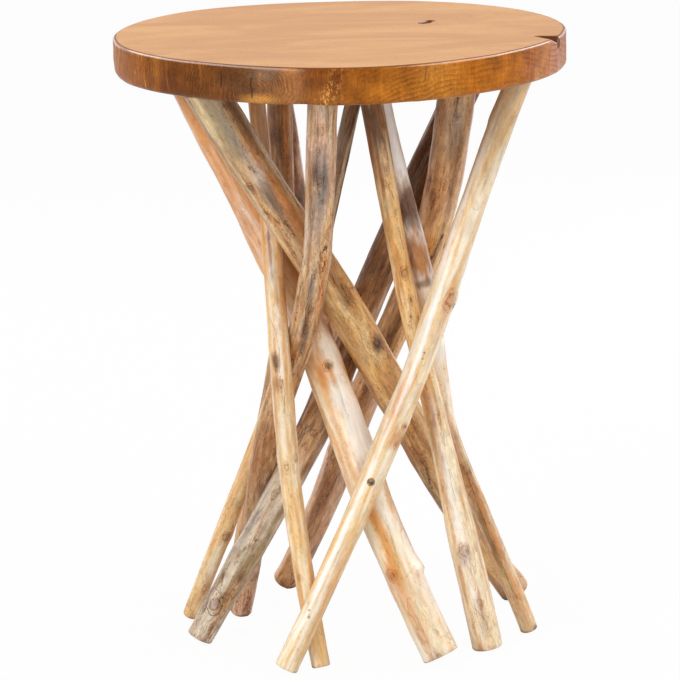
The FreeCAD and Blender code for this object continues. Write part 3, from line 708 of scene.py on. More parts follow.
STAINS_AND_PAINTED_LIGHT = {
    "long_front": (
        (459, 145, 10, 5, ORANGE, 0.6), (452, 296, 26, 6, ORANGE, 0.8), (440, 330, 30, 4, PINK, 0.6),
        (400, 400, 34, 6, ORANGE, 0.8), (398, 440, 12, 9, AMBER, 0.7), (334, 580, 60, 4, ORANGE, 0.5),
        # On long_front the three long white stains at (460, 215), (420, 350) and (333, 555) are a painted
        # highlight: the white streak that the key light lays down the branch, left of its middle.
        (472, 240, 90, 5, BUFF, 0.6), (460, 215, 70, 3, WHITE, 0.9), (420, 350, 90, 3, WHITE, 0.9),
        (333, 555, 90, 3, WHITE, 0.9), (446, 240, 90, 3, SAND, 0.8), (375, 510, 16, 4, AMBER, 0.6),
        (510, 100, 40, 12, BUFF, 0.4), (490, 110, 50, 4, OLIVE, 0.6), (328, 625, 14, 5, AMBER, 0.5),
    ),
    "honey_right": (
        # On honey_right the umber patch at (370, 115), just under the slab, is partly painted shade of the
        # slab.
        (370, 115, 34, 14, UMBER, 0.7), (397, 225, 80, 5, HONEY, 0.8), (398, 270, 40, 3, AMBER, 0.5),
        (412, 330, 30, 8, STRAW, 0.8), (448, 480, 90, 5, PALE, 0.95), (470, 580, 60, 4, PALE, 0.8),
        # The two lilac patches at (463, 556) and (482, 615) on honey_right are painted reflection of the
        # lacquer.
        (425, 395, 40, 5, AMBER, 0.7), (463, 556, 11, 7, LILAC_REFLECTION, 0.6), (482, 615, 22, 4, LILAC_REFLECTION, 0.4),
        (478, 520, 120, 4, ORANGE, 0.6), (455, 600, 70, 4, ORANGE, 0.5), (436, 442, 40, 4, BROWN, 0.6),
    ),
    "slim_right": (
        (392, 130, 100, 16, WHITE, 1.0), (408, 204, 25, 22, UMBER, 0.9), (411, 212, 20, 14, DARK, 0.5),
        # On slim_right the small umber patch at (424, 284) is painted shadow, the dark gap at the tip of the
        # darker patches above it.
        (419, 256, 26, 20, BROWN, 0.9), (420, 256, 24, 8, AMBER, 0.6), (424, 284, 5, 14, UMBER, 0.7),
        (450, 430, 45, 6, PINK, 0.6), (470, 480, 50, 4, BROWN, 0.8), (490, 540, 60, 3, UMBER, 0.6),
        (505, 560, 90, 3, ORANGE, 0.6), (522, 612, 30, 8, SALMON, 0.6), (531, 629, 5, 4, UMBER, 0.8),
    ),
    "big_diagonal": (
        (222, 125, 46, 11, OLIVE, 0.9), (207, 120, 30, 5, STRAW, 0.6), (262, 170, 60, 5, AMBER, 0.9),
        (243, 150, 50, 5, GREY, 0.7), (257, 175, 24, 8, ASH, 0.8), (285, 212, 34, 8, SLATE, 0.85),
        (298, 222, 50, 5, AMBER, 0.7), (293, 222, 34, 6, ORANGE, 0.7), (268, 200, 20, 5, SLATE, 0.6),
        (235, 112, 50, 6, UMBER, 0.9), (264, 138, 60, 5, DARK, 0.8), (330, 270, 50, 8, BROWN, 0.7),
        (318, 300, 40, 9, BROWN, 0.6), (345, 295, 18, 6, UMBER, 0.6), (372, 345, 22, 12, STRAW, 0.7),
        (378, 344, 9, 6, SLATE, 0.9), (352, 345, 40, 6, BROWN, 0.5), (395, 390, 30, 8, TAN, 0.6),
        (415, 455, 40, 9, BROWN, 0.6), (437, 500, 45, 7, UMBER, 0.7), (500, 590, 30, 6, BROWN, 0.6),
        (512, 578, 50, 9, PINK, 0.8), (498, 606, 12, 14, UMBER, 0.7),
    ),
    "grey_centre": (
        (322, 150, 20, 14, PINK, 0.6), (319, 178, 30, 7, SLATE, 0.75), (322, 195, 20, 6, GREY, 0.8),
        (312, 205, 25, 4, UMBER, 0.5), (318, 225, 40, 5, GREY, 0.5), (327, 240, 50, 4, HONEY, 0.6),
        (310, 290, 20, 3, SLATE, 0.7), (306, 322, 20, 2.6, UMBER, 0.8), (303, 342, 14, 2.4, SLATE, 0.7),
        (314, 172, 16, 3, DARK, 0.5), (326, 172, 24, 3, SLATE, 0.7), (322, 290, 50, 4, ORANGE, 0.8),
        (292, 355, 26, 6, UMBER, 0.6), (285, 372, 40, 4, AMBER, 0.7), (268, 400, 40, 12, TAN, 0.6),
        (262, 440, 40, 9, BROWN, 0.7), (255, 470, 40, 10, BROWN, 0.8), (246, 590, 30, 14, PINK, 0.8),
        (262, 500, 50, 7, UMBER, 0.6),
    ),
    "thin_left": (
        (271, 250, 34, 3, WHITE, 0.9), (270, 250, 26, 1.6, SLATE, 0.8), (266, 290, 60, 4, HONEY, 0.6),
        (277, 300, 50, 3, SAND, 0.8), (279, 350, 40, 4, PALE, 0.8), (276, 362, 9, 4, UMBER, 0.8),
        (276, 384, 8, 4, BROWN, 0.8), (276, 470, 50, 5, ORANGE, 0.4), (290, 500, 60, 4, STRAW, 0.7),
        (258, 130, 40, 8, TAN, 0.8), (266, 240, 30, 4, AMBER, 0.4), (286, 545, 40, 3, AMBER, 0.5),
        (318, 640, 30, 6, HONEY, 0.6),
    ),
    "orange_front": (
        (196, 140, 60, 5, PINK, 0.7), (222, 175, 60, 9, ORANGE, 0.6), (240, 215, 60, 6, AMBER, 0.5),
        (330, 345, 24, 12, PALE, 0.9), (338, 395, 26, 6, PALE, 0.95), (322, 378, 20, 5, AMBER, 0.8),
        (332, 376, 14, 3, ORANGE, 0.9), (360, 430, 60, 14, WHITE, 0.85), (342, 440, 60, 4, ORANGE, 0.6),
        (356, 378, 40, 3, ORANGE, 0.5), (372, 480, 60, 10, PALE, 0.7), (392, 560, 90, 6, HONEY, 0.9),
        (385, 540, 50, 4, AMBER, 0.6), (415, 560, 60, 8, PALE, 0.9), (400, 500, 60, 5, AMBER, 0.7),
        (391, 577, 14, 8, AMBER, 0.7), (427, 625, 40, 12, CREAM, 0.9), (410, 610, 60, 6, ORANGE, 0.6),
        (424, 590, 22, 10, PINK, 0.3), (440, 660, 8, 8, BROWN, 0.5), (368, 470, 14, 12, BROWN, 0.4),
    ),
    "grey_left": (
        (428, 160, 50, 14, UMBER, 0.9), (418, 170, 50, 8, DARK, 0.7), (400, 215, 30, 14, DARK, 0.6),
        (390, 235, 30, 8, BROWN, 0.7), (372, 275, 30, 12, DARK, 0.7), (365, 295, 30, 8, TAN, 0.5),
        (330, 340, 40, 9, BROWN, 0.6), (330, 400, 40, 8, UMBER, 0.5), (312, 420, 24, 6, BROWN, 0.7),
        (310, 445, 40, 9, TAN, 0.6), (280, 480, 60, 6, OLIVE, 0.8), (262, 505, 40, 6, ASH, 0.8),
        (245, 535, 60, 3, GREY, 0.9), (235, 525, 60, 3, SLATE, 0.7), (222, 575, 30, 8, ASH, 0.8),
        # The lilac patch at (213, 604) on grey_left's knot is painted reflection of the lacquer.
        (213, 604, 7, 4, LILAC_REFLECTION, 0.8), (241, 578, 8, 2.4, DARK, 0.8), (206, 600, 50, 4, GREY, 0.7),
        (226, 600, 16, 5, OLIVE, 0.8), (252, 560, 60, 5, OLIVE, 0.7), (200, 625, 20, 8, ASH, 0.7),
        (228, 600, 30, 5, AMBER, 0.4),
    ),
    "red_right": (
        (455, 130, 30, 12, GREY, 0.4), (458, 120, 3, 2.4, ASH, 0.8), (438, 150, 60, 5, BROWN, 0.5),
        (435, 195, 40, 7, AMBER, 0.4), (464, 180, 90, 5, PINK, 0.9), (450, 200, 70, 3, UMBER, 0.4),
        (436, 235, 30, 5, HONEY, 0.7), (424, 262, 34, 8, AMBER, 0.8), (432, 262, 30, 3, UMBER, 0.6),
        (415, 285, 16, 8, UMBER, 0.8), (388, 335, 40, 8, TAN, 0.8), (398, 320, 30, 4, DARK, 0.7),
        (385, 350, 30, 5, UMBER, 0.7), (368, 385, 60, 4, DARK, 0.8), (380, 390, 50, 5, PINK, 0.7),
        (355, 410, 40, 6, BROWN, 0.8), (330, 480, 60, 7, BROWN, 0.7), (318, 500, 50, 5, UMBER, 0.6),
        (290, 570, 30, 8, TAN, 0.5), (345, 470, 60, 5, PINK, 0.6), (280, 585, 14, 10, UMBER, 0.5),
    ),
    "pale_left": (
        # On pale_left the umber patch at (344, 130), just under the slab, is partly painted shade of the slab.
        (344, 130, 40, 7, UMBER, 0.6), (334, 180, 50, 4, GREY, 0.6), (240, 480, 60, 5, ORANGE, 0.4),
        (226, 538, 6, 4, BROWN, 0.7), (205, 590, 20, 4, AMBER, 0.5), (215, 560, 40, 3, PALE, 0.6),
    ),
    "back_left": (
        (272, 120, 30, 8, UMBER, 0.6), (278, 150, 40, 5, DARK, 0.7), (286, 130, 40, 4, AMBER, 0.5),
        (283, 190, 30, 6, BROWN, 0.6),
    ),
    "back_middle": (
        (296, 125, 30, 9, BROWN, 0.8), (302, 150, 60, 4, WHITE, 0.8), (302, 200, 26, 12, DARK, 0.7),
        (290, 150, 30, 5, UMBER, 0.6),
    ),
}
CRACKS = {
    "long_front": (),
    "honey_right": (
        (0.4, (398, 228), (404, 250)), (0.3, (474, 600), (478, 618), (486, 640)), (0.3, (482, 612), (490, 636)),
        (0.3, (448, 470), (455, 500)),
    ),
    "slim_right": ((0.4, (468, 478), (476, 500), (486, 525)), (0.35, (500, 560), (512, 590))),
    "big_diagonal": (
        (0.6, (425, 470), (432, 488)), (0.3, (250, 186), (254, 194)), (0.3, (262, 200), (266, 214)),
        (0.3, (358, 330), (366, 350), (380, 362)), (0.3, (200, 116), (207, 128)),
    ),
    "grey_centre": (
        (0.9, (326, 246), (323, 253)), (0.9, (325, 262), (323, 272)), (0.4, (318, 150), (316, 175), (320, 198)),
        (0.35, (314, 210), (311, 240)), (0.4, (313, 275), (308, 300), (305, 322)),
    ),
    "thin_left": (
        (0.3, (271, 318), (276, 335), (279, 352), (280, 372)), (0.4, (283, 380), (285, 395), (284, 412)),
    ),
    "orange_front": (
        (0.3, (386, 515), (394, 548), (404, 583)), (0.25, (414, 566), (404, 583)),
        (0.25, (416, 600), (424, 622)), (0.25, (430, 612), (438, 636)),
        (0.25, (338, 385), (344, 410), (350, 418)),
    ),
    "grey_left": (
        (0.5, (250, 505), (232, 530), (222, 550)), (0.4, (222, 566), (206, 592), (197, 620)),
        (0.35, (228, 572), (212, 590), (204, 612)), (0.35, (222, 592), (220, 612), (208, 622)),
        (0.3, (262, 508), (246, 530)), (0.3, (214, 578), (200, 604)),
        (0.45, (206, 590), (205, 606), (212, 616), (221, 612), (223, 598), (216, 588)),
    ),
    "red_right": (
        (0.8, (443, 235), (432, 258), (424, 272)), (0.5, (396, 330), (388, 348), (372, 378)),
        (0.5, (340, 470), (326, 500)),
    ),
    "pale_left": ((0.3, (230, 500), (225, 516)),),
    "back_left": (),
    "back_middle": (),
}
print("knots", sum(map(len, KNOTS.values())), "stains", sum(map(len, STAINS_AND_PAINTED_LIGHT.values())))


# %% [markdown]
# ## Screw plugs stay clear
# The plugs over the crossing screws are solids of the frame. Round each of them the bark stays smooth and a
# hair lower than the plug, or the two surfaces would fight for the same place.
# %% Where the plugs are
SAME_PLACE = 1e-6


def islands(node):
    """The middle of each separate lump of a CAD node, read from a merged copy of its mesh."""
    copy = bmesh.new()
    copy.from_mesh(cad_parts[node].data)
    bmesh.ops.remove_doubles(copy, verts=copy.verts, dist=SAME_PLACE)
    left, middles = set(copy.verts), []
    while left:
        queue, lump = [left.pop()], []
        while queue:
            vert = queue.pop()
            lump.append(vert.co.copy())
            for edge in vert.link_edges:
                other = edge.other_vert(vert)
                if other in left:
                    left.discard(other)
                    queue.append(other)
        middles.append(np.mean([tuple(co) for co in lump], axis=0))
    copy.free()
    return middles


plug_middles = islands("screw_plugs")
print("plugs", len(plug_middles))

# %% [markdown]
# ## Shape of the bark
# Real branches are never quite round: they swell and thin a little, flatten on one side and bulge at each
# knot. Random soft fields give the first two, and the list of knots the bulges. The amounts stay small,
# because the solids already have the branch's true girth.
# %% Swell each branch
PLUG_CLEAR = 0.011
PLUG_PROUD = 0.00025
LONG_LUMPS, SHORT_LUMPS, FLAT_SIDES = 0.07, 0.03, 0.018
KNOT_DIMPLE = 0.45
FOOT_SWELL = 0.5


def knot_bulge(branch, x, y, size, stretch, swell):
    """A bulge with a small dimple in its middle."""
    spot = Spot(branch, x, y)
    if spot.miss > FAR_SPOT:
        print("  far spot", branch.name, x, y, round(spot.miss, 1))
    apart = np.hypot(spot.along / (size * stretch), spot.around / size) * TO_MM
    return swell / TO_MM * (np.exp(-(apart**2) * 0.7) - KNOT_DIMPLE * np.exp(-(apart**2) * 9))


def bump(branch, x, y, up, down, wide, height):
    """A soft bump that may run further down the branch than up."""
    spot = Spot(branch, x, y)
    along = np.where(spot.along > 0, spot.along / up, spot.along / down)
    apart = np.hypot(along, spot.around / wide) * TO_MM
    return height / TO_MM * np.exp(-(apart**2))


for branch in branches.values():
    lumps = rough_field(branch, 0.075, 0.02) * LONG_LUMPS + rough_field(branch, 0.024, 0.011, 40) * SHORT_LUMPS
    sides = FLAT_SIDES * np.cos(2 * branch.turn[None, :] + 6 * branch.run[:, None] + branch.seed)
    branch.swell = branch.radius[:, None] * (lumps + sides)
    for *shape, _ in KNOTS[branch.name]:
        branch.swell = branch.swell + knot_bulge(branch, *shape)
    for shape in BUMPS[branch.name]:
        branch.swell = branch.swell + bump(branch, *shape)
    points = branch.bark()
    near = np.min([np.linalg.norm(points - middle, axis=2) for middle in plug_middles], axis=0)
    calm = np.clip((near - PLUG_CLEAR * 0.6) / (PLUG_CLEAR * 0.8), 0, 1)
    branch.swell = branch.swell * calm - PLUG_PROUD * (1 - calm)
    branch.swell[branch.run <= 0] *= FOOT_SWELL
print("swollen", len(branches))


# %% [markdown]
# ## Seats where the branches cross
# A branch is notched where it crosses one that stands before it in the list, so neither runs through the
# other. A Boolean could cut the notch. Drawing the bark points in towards their own middle line until they
# clear the neighbour gives the same seat, and keeps the grid of bark points whole.
# %% Press the seats
SEAT_GAP = 0.0003
SEAT_GIRTH = 1.015
OWN_REACH, OTHER_REACH = 1.2, 1.1
DEEPEST_SEAT = 0.1
HALVINGS = 9


def clearance(points, other):
    """How far each point lies outside the bark of another branch."""
    apart = np.linalg.norm(points[:, None, :] - other.centre[None, ::2, :], axis=2)
    return (apart - other.radius[None, ::2] * SEAT_GIRTH).min(axis=1) - SEAT_GAP


def press(points, branch, other):
    """Draws the bark points that lie inside another branch in until they clear it."""
    gaps = np.linalg.norm(branch.centre[:, None, :] - other.centre[None, ::4, :], axis=2).min(axis=1)
    rows = np.where(gaps < branch.radius.max() * OWN_REACH + other.radius.max() * OTHER_REACH)[0]
    if len(rows) == 0:
        return
    block = points[rows].reshape(-1, 3)
    middle = np.repeat(branch.centre[rows], branch.SIDES + 1, axis=0)
    inside = clearance(block, other) < 0
    if not inside.any():
        return
    low, high = np.full(inside.sum(), DEEPEST_SEAT), np.ones(inside.sum())
    start, reach = middle[inside], block[inside] - middle[inside]
    for _ in range(HALVINGS):
        half = (low + high) / 2
        clear = clearance(start + reach * half[:, None], other) >= 0
        low, high = np.where(clear, half, low), np.where(clear, high, half)
    block[inside] = start + reach * low[:, None]
    points[rows] = block.reshape(len(rows), branch.SIDES + 1, 3)


order = list(branches.values())
for index, branch in enumerate(order):
    branch.points = branch.bark()
    for other in order[:index]:
        press(branch.points, branch, other)
    print(branch.name, "seated against", index, "earlier branches")


# %% [markdown]
# ## Paint of the bark
# Four attributes go with each bark point. The one named grain is its place on the straightened branch, so
# that grain runs along the wood even where the branch bends. Those named knot and crack say how near the point
# is to a knot and to a crack. The one named bark is a broad colour, blended from the branch's own tones and
# its stains, a few of which are painted highlights, reflections and shade.
# %% Colour and marks per bark point
NO_KNOT, NO_CRACK = 5.0, 9.0
FULL_CRACK = 0.6


def laid_over(colours, other, weight):
    """The colours with another one laid over them, as far as the weight of each says."""
    return colours * (1 - weight) + np.array(other) * weight


def bark_colour(branch):
    """The broad colour of each bark point: its tones, pale and deep bands, stains and painted light and shade.
    """
    share = branch.run / branch.run[-1]
    places = [place for place, _ in COLOURS[branch.name]]
    tones = np.array([colour for _, colour in COLOURS[branch.name]])
    wander = rough_field(branch, 0.05, 0.012, 11) * 0.16
    share = np.clip(share[:, None] + wander, 0, 1)
    colour = np.stack([np.interp(share, places, tones[:, channel]) for channel in range(4)], axis=2)
    light, deep, strength = BANDS[branch.name]
    band = rough_field(branch, 0.09, 0.0055, 31) * 1.9 + rough_field(branch, 0.035, 0.0028, 47) * 1.5
    for other, weight in ((light, np.clip(band, 0, 1)), (deep, np.clip(-band, 0, 1))):
        colour = laid_over(colour, other, weight[:, :, None] * strength)
    torn = rough_field(branch, 0.02, 0.004, 23) + rough_field(branch, 0.008, 0.0024, 24) * 0.6
    # A few rows lay painted highlights, reflections and shade instead of stains.
    for x, y, long, wide, patch, strength in STAINS_AND_PAINTED_LIGHT[branch.name]:
        spot = Spot(branch, x, y)
        apart = (np.abs(spot.along) * TO_MM / long) ** 2 + (np.abs(spot.around) * TO_MM / wide) ** 2
        apart = np.sqrt(apart) * 1.15 + torn * 0.55
        colour = laid_over(colour, patch, strength * np.clip(1.55 - apart, 0, 1)[:, :, None])
    return colour


def knot_marks(branch):
    """For each bark point: around and along from the nearest knot, in knot sizes, and its darkness."""
    marks = np.full(branch.points.shape, NO_KNOT)
    marks[:, :, 2] = 0
    nearest = np.full(marks.shape[:2], NO_KNOT)
    for x, y, size, stretch, _, dark in KNOTS[branch.name]:
        spot = Spot(branch, x, y)
        around, along = spot.around * TO_MM / size, spot.along * TO_MM / (size * stretch)
        apart = np.hypot(around, along)
        closer = apart < nearest
        nearest = np.minimum(nearest, apart)
        fade = dark * np.clip(2.4 - apart, 0, 1)
        marks[closer] = np.stack([around, along, fade], axis=2)[closer]
    return marks


def crack_marks(branch):
    """For each bark point: signed distance to the nearest crack in its widths, and how strong it is."""
    marks = np.zeros(branch.points.shape)
    marks[:, :, 0] = NO_CRACK
    nearest = np.full(marks.shape[:2], NO_CRACK)
    for width, *pixels in CRACKS[branch.name]:
        spots = [Spot(branch, x, y) for x, y in pixels]
        for one, two in zip(spots, spots[1:]):
            step = np.array((one.along[two.row, 0], one.around[two.row, two.column])) * TO_MM
            length = np.linalg.norm(step)
            if length == 0:
                continue
            along = (one.along * step[0] + one.around * step[1]) * TO_MM / length
            side = (one.along * step[1] - one.around * step[0]) * TO_MM / length
            fade = np.clip((along + 2) / 2, 0, 1) * np.clip((length - along + 2) / 2, 0, 1)
            apart = np.abs(side) / width + (1 - fade) * NO_CRACK
            closer = (apart < nearest) & (apart < NO_CRACK - 1)
            nearest = np.where(closer, apart, nearest)
            strength = fade * min(width / FULL_CRACK, 1)
            marks[closer] = np.stack([side / width, along, strength], axis=2)[closer]
    return marks


# %% Roll each sheet of bark into a tube
def roll_bark(branch):
    """A grid with one row for each ring, rolled round the middle line and joined along its seam."""
    rings = len(branch.run)
    work = bmesh.new()
    bmesh.ops.create_grid(work, x_segments=branch.SIDES, y_segments=rings - 1, size=1)
    reach = (branch.radius * branch.share)[:, None]
    height = branch.run[:, None] + np.zeros(branch.SIDES + 1) + branch.seed * 1.7
    straight = np.stack([np.cos(branch.turn) * reach, np.sin(branch.turn) * reach, height], axis=2)
    vectors, colours = work.verts.layers.float_vector, work.verts.layers.float_color
    layers = (
        (vectors.new("grain"), straight),
        (vectors.new("knot"), knot_marks(branch)),
        (vectors.new("crack"), crack_marks(branch)),
        (colours.new("bark"), bark_colour(branch)),
    )
    for vert in work.verts:
        column = round((vert.co.x + 1) / 2 * branch.SIDES)
        row = round((vert.co.y + 1) / 2 * (rings - 1))
        vert.co = branch.points[row, column]
        for layer, values in layers:
            vert[layer] = tuple(values[row, column])
    bmesh.ops.remove_doubles(work, verts=work.verts, dist=2 * SAME_PLACE)
    bmesh.ops.recalc_face_normals(work, faces=work.faces)
    return to_mesh(work, branch.name)


legs = {}
for branch in order:
    leg = add_object(f"branch_{branch.name}", roll_bark(branch))
    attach(leg, "root")
    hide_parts(f"leg_{branch.name}")
    legs[branch.name] = leg
    print(leg.name, "faces", len(leg.data.polygons))


# %% [markdown]
# ## Peeled and sanded bark side
# Under its bark a teak branch is cream to brown, with fine fibres along it, soft clouds of colour, little
# dark flecks, and thin wandering lines where sanding has cut through a growth layer. A satin lacquer lies
# over it, duller where the wood is dark and weathered. All of it is drawn from the straightened place of the
# bark point.
# %% Branch finish
WOOD_IOR = 1.45


def branch_finish(name, fibre, contours, flecks, sheen, relief):
    """A peeled branch: how strong its fibres, contour lines and flecks show, its roughness and its relief."""
    wood = Finish(name)
    place = wood.attribute("grain")
    colour = wood.attribute("bark", out="Color")
    around, along, dark = wood.split(wood.attribute("knot"))
    side, _, open_crack = wood.split(wood.attribute("crack"))

    fine = wood.noise(place * (1, 1, 0.07), 950, 2, 0.6) - 0.5
    threads = wood.noise(place * (1, 1, 0.07), 360, 3, 0.6, 0.5) - 0.5
    clouds = wood.noise(place * (1, 1, 0.3), 60, 4, 0.6) - 0.5
    dapple = wood.noise(place * (1, 1, 0.34), 250, 5, 0.8, 0.3) - 0.5
    _, _, blue = wood.split(colour)
    clean = wood.ramp(blue, 0.42, 0.78)
    shine = 0.15 + wood.ramp(blue, 0.05, 0.3) * 0.45
    fibre = (1 - clean * 0.55) * fibre
    flecks = (1 - clean * 0.75) * flecks
    aged = wood.ramp(clouds + threads * 0.3, -0.04, 0.12)
    streak = wood.ramp(threads + fine * 0.5 + clouds * 0.3, 0.04, 0.16)
    pale_thread = wood.ramp(fine * 0.4 - threads, 0.08, 0.18)
    mottle = wood.ramp(wood.noise(place * (1, 1, 0.4), 170, 5, 0.78, 0.4) + clouds * 0.5, 0.57, 0.64) * flecks
    dirt = wood.ramp(dapple + threads * 0.4 + clouds * 0.4, 0.08, 0.2) * aged * flecks
    speck = wood.ramp(wood.noise(place * (1, 1, 0.45), 700, 2, 0.5), 0.62, 0.68) * (0.25 + aged * 0.75) * flecks
    dash = wood.ramp(wood.noise(place * (1, 1, 0.08), 500, 2, 0.5), 0.64, 0.72) * aged * flecks

    growth = wood.noise(place * (1, 1, 0.24), 46, 3, 0.5, 0.6) * 5 + dapple * 0.3
    step = growth.fraction()
    here = wood.ramp(wood.noise(place * (1, 1, 0.4), 30, 1), 0.49, 0.54) * contours
    line = (1 - wood.ramp(abs(step - 0.5), 0.0, 0.07)) * here * wood.ramp(dapple + fine, -0.18, 0.06)
    deeper = wood.ramp(step, 0.5, 0.53) * (1 - wood.ramp(step, 0.85, 1.0)) * here

    ripple = wood.noise(place * (1, 1, 0.5), 330, 4, 0.65) - 0.5
    ring = wood.sum("SQRT", around * around + along * along) + ripple * 1.8
    eye = (1 - wood.ramp(ring, 0.4, 0.62)) * wood.ramp(dark, 0.35, 0.9)
    halo = (1 - wood.ramp(ring, 0.6, 1.8)) * dark
    broken = wood.ramp(dapple + threads, -0.14, 0.04)
    outline = (1 - wood.ramp(abs(ring - 0.72), 0.02, 0.24)) * wood.ramp(dark, 0.1, 0.5) * broken
    circle = (1 - wood.ramp(abs(ring - 1.3), 0.02, 0.2)) * wood.ramp(dark, 0.15, 0.6) * broken
    jag = (wood.noise(place * (1, 1, 0.6), 190, 3, 0.6) - 0.5) * 12
    slit = (1 - wood.ramp(abs(side + jag), 0.3, 1.2)) * open_crack * wood.ramp(dapple + fine, -0.2, 0.0)

    value = 1 + (dapple * 2.0 + threads * 0.8 + fine * 0.9) * fibre + clouds * 0.5
    colour = wood.blend(colour, value, 1.0, "MULTIPLY")
    warm = wood.ramp(clouds + dapple * 0.3, 0.0, 0.16) * (1 - clean * 0.8)
    colour = wood.darken(colour, ((0.98, 0.84, 0.62), warm * 0.6), ((0.66, 0.47, 0.32), streak * fibre * 0.65))
    colour = wood.blend(colour, tone(250, 226, 188), pale_thread * fibre * 0.12)
    colour = wood.darken(
        colour,
        ((0.46, 0.37, 0.31), mottle * 0.7),
        ((0.86, 0.7, 0.52), deeper * 0.5),
        ((0.4, 0.31, 0.26), dirt * 0.75),
        ((0.34, 0.22, 0.15), dash * 0.7),
        ((0.5, 0.34, 0.24), line * 0.75),
        ((0.22, 0.15, 0.12), speck * 0.8),
        ((0.8, 0.56, 0.38), halo * 0.75),
    )
    heart = wood.blend(tone(84, 66, 52), tone(148, 126, 100), wood.ramp(fine + dapple, -0.12, 0.16))
    colour = wood.blend(colour, heart, eye * 0.85)
    colour = wood.darken(colour, ((0.34, 0.2, 0.13), outline.most(circle * 0.7) * 0.75))
    colour = wood.blend(colour, tone(60, 40, 28), slit * 0.85)

    # The lowest few millimetres of each branch above the floor are drawn darker.
    _, _, above_floor = wood.split(wood.node("ShaderNodeTexCoord", out="Object"))
    darker_near_floor = 1 - wood.ramp(above_floor + dapple * 0.004, 0.0008, 0.004)
    colour = wood.darken(colour, ((0.5, 0.36, 0.26), darker_near_floor * 0.8))

    hollow = line * 0.15 + speck * 0.2 + dash * 0.2 + dirt * 0.15 + eye * 0.3 + outline * 0.4 + slit
    height = dapple * 0.5 + threads * 0.3 + fine * 0.2 + clouds * 0.6 - hollow
    values = {"Base Color": colour, "Roughness": sheen + dapple * 0.25 + dirt * 0.1 + slit * 0.3}
    values |= {"Coat Weight": shine, "Coat Roughness": 0.16, "Specular IOR Level": 0.3, "IOR": WOOD_IOR}
    return wood.surface(height, relief, values)


# %% Give each branch its finish
BRANCH_SLOTS = {
    "cream_branch": ((0.45, 0.6, 0.35, 0.44, 0.0006), ("long_front", "thin_left")),
    "honey_branch": ((0.6, 0.9, 0.6, 0.46, 0.0008), ("honey_right", "slim_right", "pale_left")),
    "orange_branch": ((0.4, 0.9, 0.4, 0.45, 0.0007), ("orange_front",)),
    "brown_branch": ((0.85, 0.9, 1.0, 0.47, 0.001), ("big_diagonal", "red_right", "back_left", "back_middle")),
    "grey_branch": ((1.0, 1.0, 1.1, 0.5, 0.0011), ("grey_centre", "grey_left")),
}
for slot, (amounts, names) in BRANCH_SLOTS.items():
    finish = branch_finish(slot, *amounts)
    for name in names:
        legs[name].data.materials.append(finish)
    print(slot, names)

# %% [markdown]
# ## The slab
# The top is one thick piece of wood. Its outline is a circle that wanders a few millimetres, its upper rim is
# softly rounded, and its lower rim is wavier, as the tree left it. A spin of half a cross-section gives the
# plain disc, and then each point is moved out to the rim of the solid and given its share of the waves.
# %% Spin the disc
UPPER_ROUND, LOWER_ROUND = 0.0032, 0.005
FACE_RINGS, SIDE_RINGS, UNDER_RINGS, ROUND_RINGS = 84, 16, 12, 6
SPIN_STEPS = 400

turns = [math.pi / 2 * step / ROUND_RINGS for step in range(1, ROUND_RINGS + 1)]
profile = [(reach, 0.0) for reach in np.linspace(0, HALF_REACH - UPPER_ROUND, FACE_RINGS)]
for turn in turns:
    inward, down = 1 - math.sin(turn), 1 - math.cos(turn)
    profile.append((HALF_REACH - UPPER_ROUND * inward, -UPPER_ROUND * down))
profile += [(HALF_REACH, -depth) for depth in np.linspace(UPPER_ROUND, THICK - LOWER_ROUND, SIDE_RINGS)[1:]]
for turn in turns:
    inward, up = 1 - math.cos(turn), 1 - math.sin(turn)
    profile.append((HALF_REACH - LOWER_ROUND * inward, -THICK + LOWER_ROUND * up))
profile += [(reach, -THICK) for reach in np.linspace(HALF_REACH - LOWER_ROUND, 0, UNDER_RINGS)[1:]]

disc = bmesh.new()
rim_points = [disc.verts.new((x, 0, SLAB_HIGH.z + z)) for x, z in profile]
rim_edges = [disc.edges.new(pair) for pair in zip(rim_points, rim_points[1:])]
bmesh.ops.spin(
    disc,
    geom=rim_points + rim_edges,
    cent=(0, 0, 0),
    axis=(0, 0, 1),
    dvec=(0, 0, 0),
    angle=2 * math.pi,
    steps=SPIN_STEPS,
    use_merge=True,
    use_duplicate=False,
)
bmesh.ops.remove_doubles(disc, verts=disc.verts, dist=SAME_PLACE)
bmesh.ops.recalc_face_normals(disc, faces=disc.faces)
print("disc faces", len(disc.faces))

# %% [markdown]
# Near the open knot and the split in the rim the disc needs a finer mesh than elsewhere, so their edges are
# subdivided first. The knot is a shallow oval bowl in the upper face. The split is a wedge that opens towards
# the rim at the right. The lower rim rises and draws in by a few millimetres, most of all at the left.
# %% Rim, knot and split
KNOT_MIDDLE = Vector((0.39 * HALF_REACH, 0.28 * HALF_REACH, 0))
KNOT_LONG, KNOT_WIDE, KNOT_DEEP = 0.013, 0.006, 0.005
KNOT_BEARING = math.radians(65)
SPLIT_TIP = Vector((0.187, -0.046, 0))
SPLIT_MOUTH = Vector((0.216, -0.060, 0))
SPLIT_BACK, SPLIT_FRONT, SPLIT_DEEP = 0.013, 0.02, 0.0065
NEAR_KNOT, NEAR_SPLIT, NEAR_FACE = 0.018, 0.03, 0.012
WAVES_START = 0.018


def flat(place):
    """A place laid down on the level of the floor."""
    return Vector((place.x, place.y, 0))


def near_detail(vert):
    """Whether a point lies so near the knot or the split that the mesh is made finer there."""
    at_knot = (flat(vert.co) - KNOT_MIDDLE).length < NEAR_KNOT
    at_split = (flat(vert.co) - (SPLIT_TIP + SPLIT_MOUTH) / 2).length < NEAR_SPLIT
    return vert.co.z > SLAB_HIGH.z - NEAR_FACE and (at_knot or at_split)


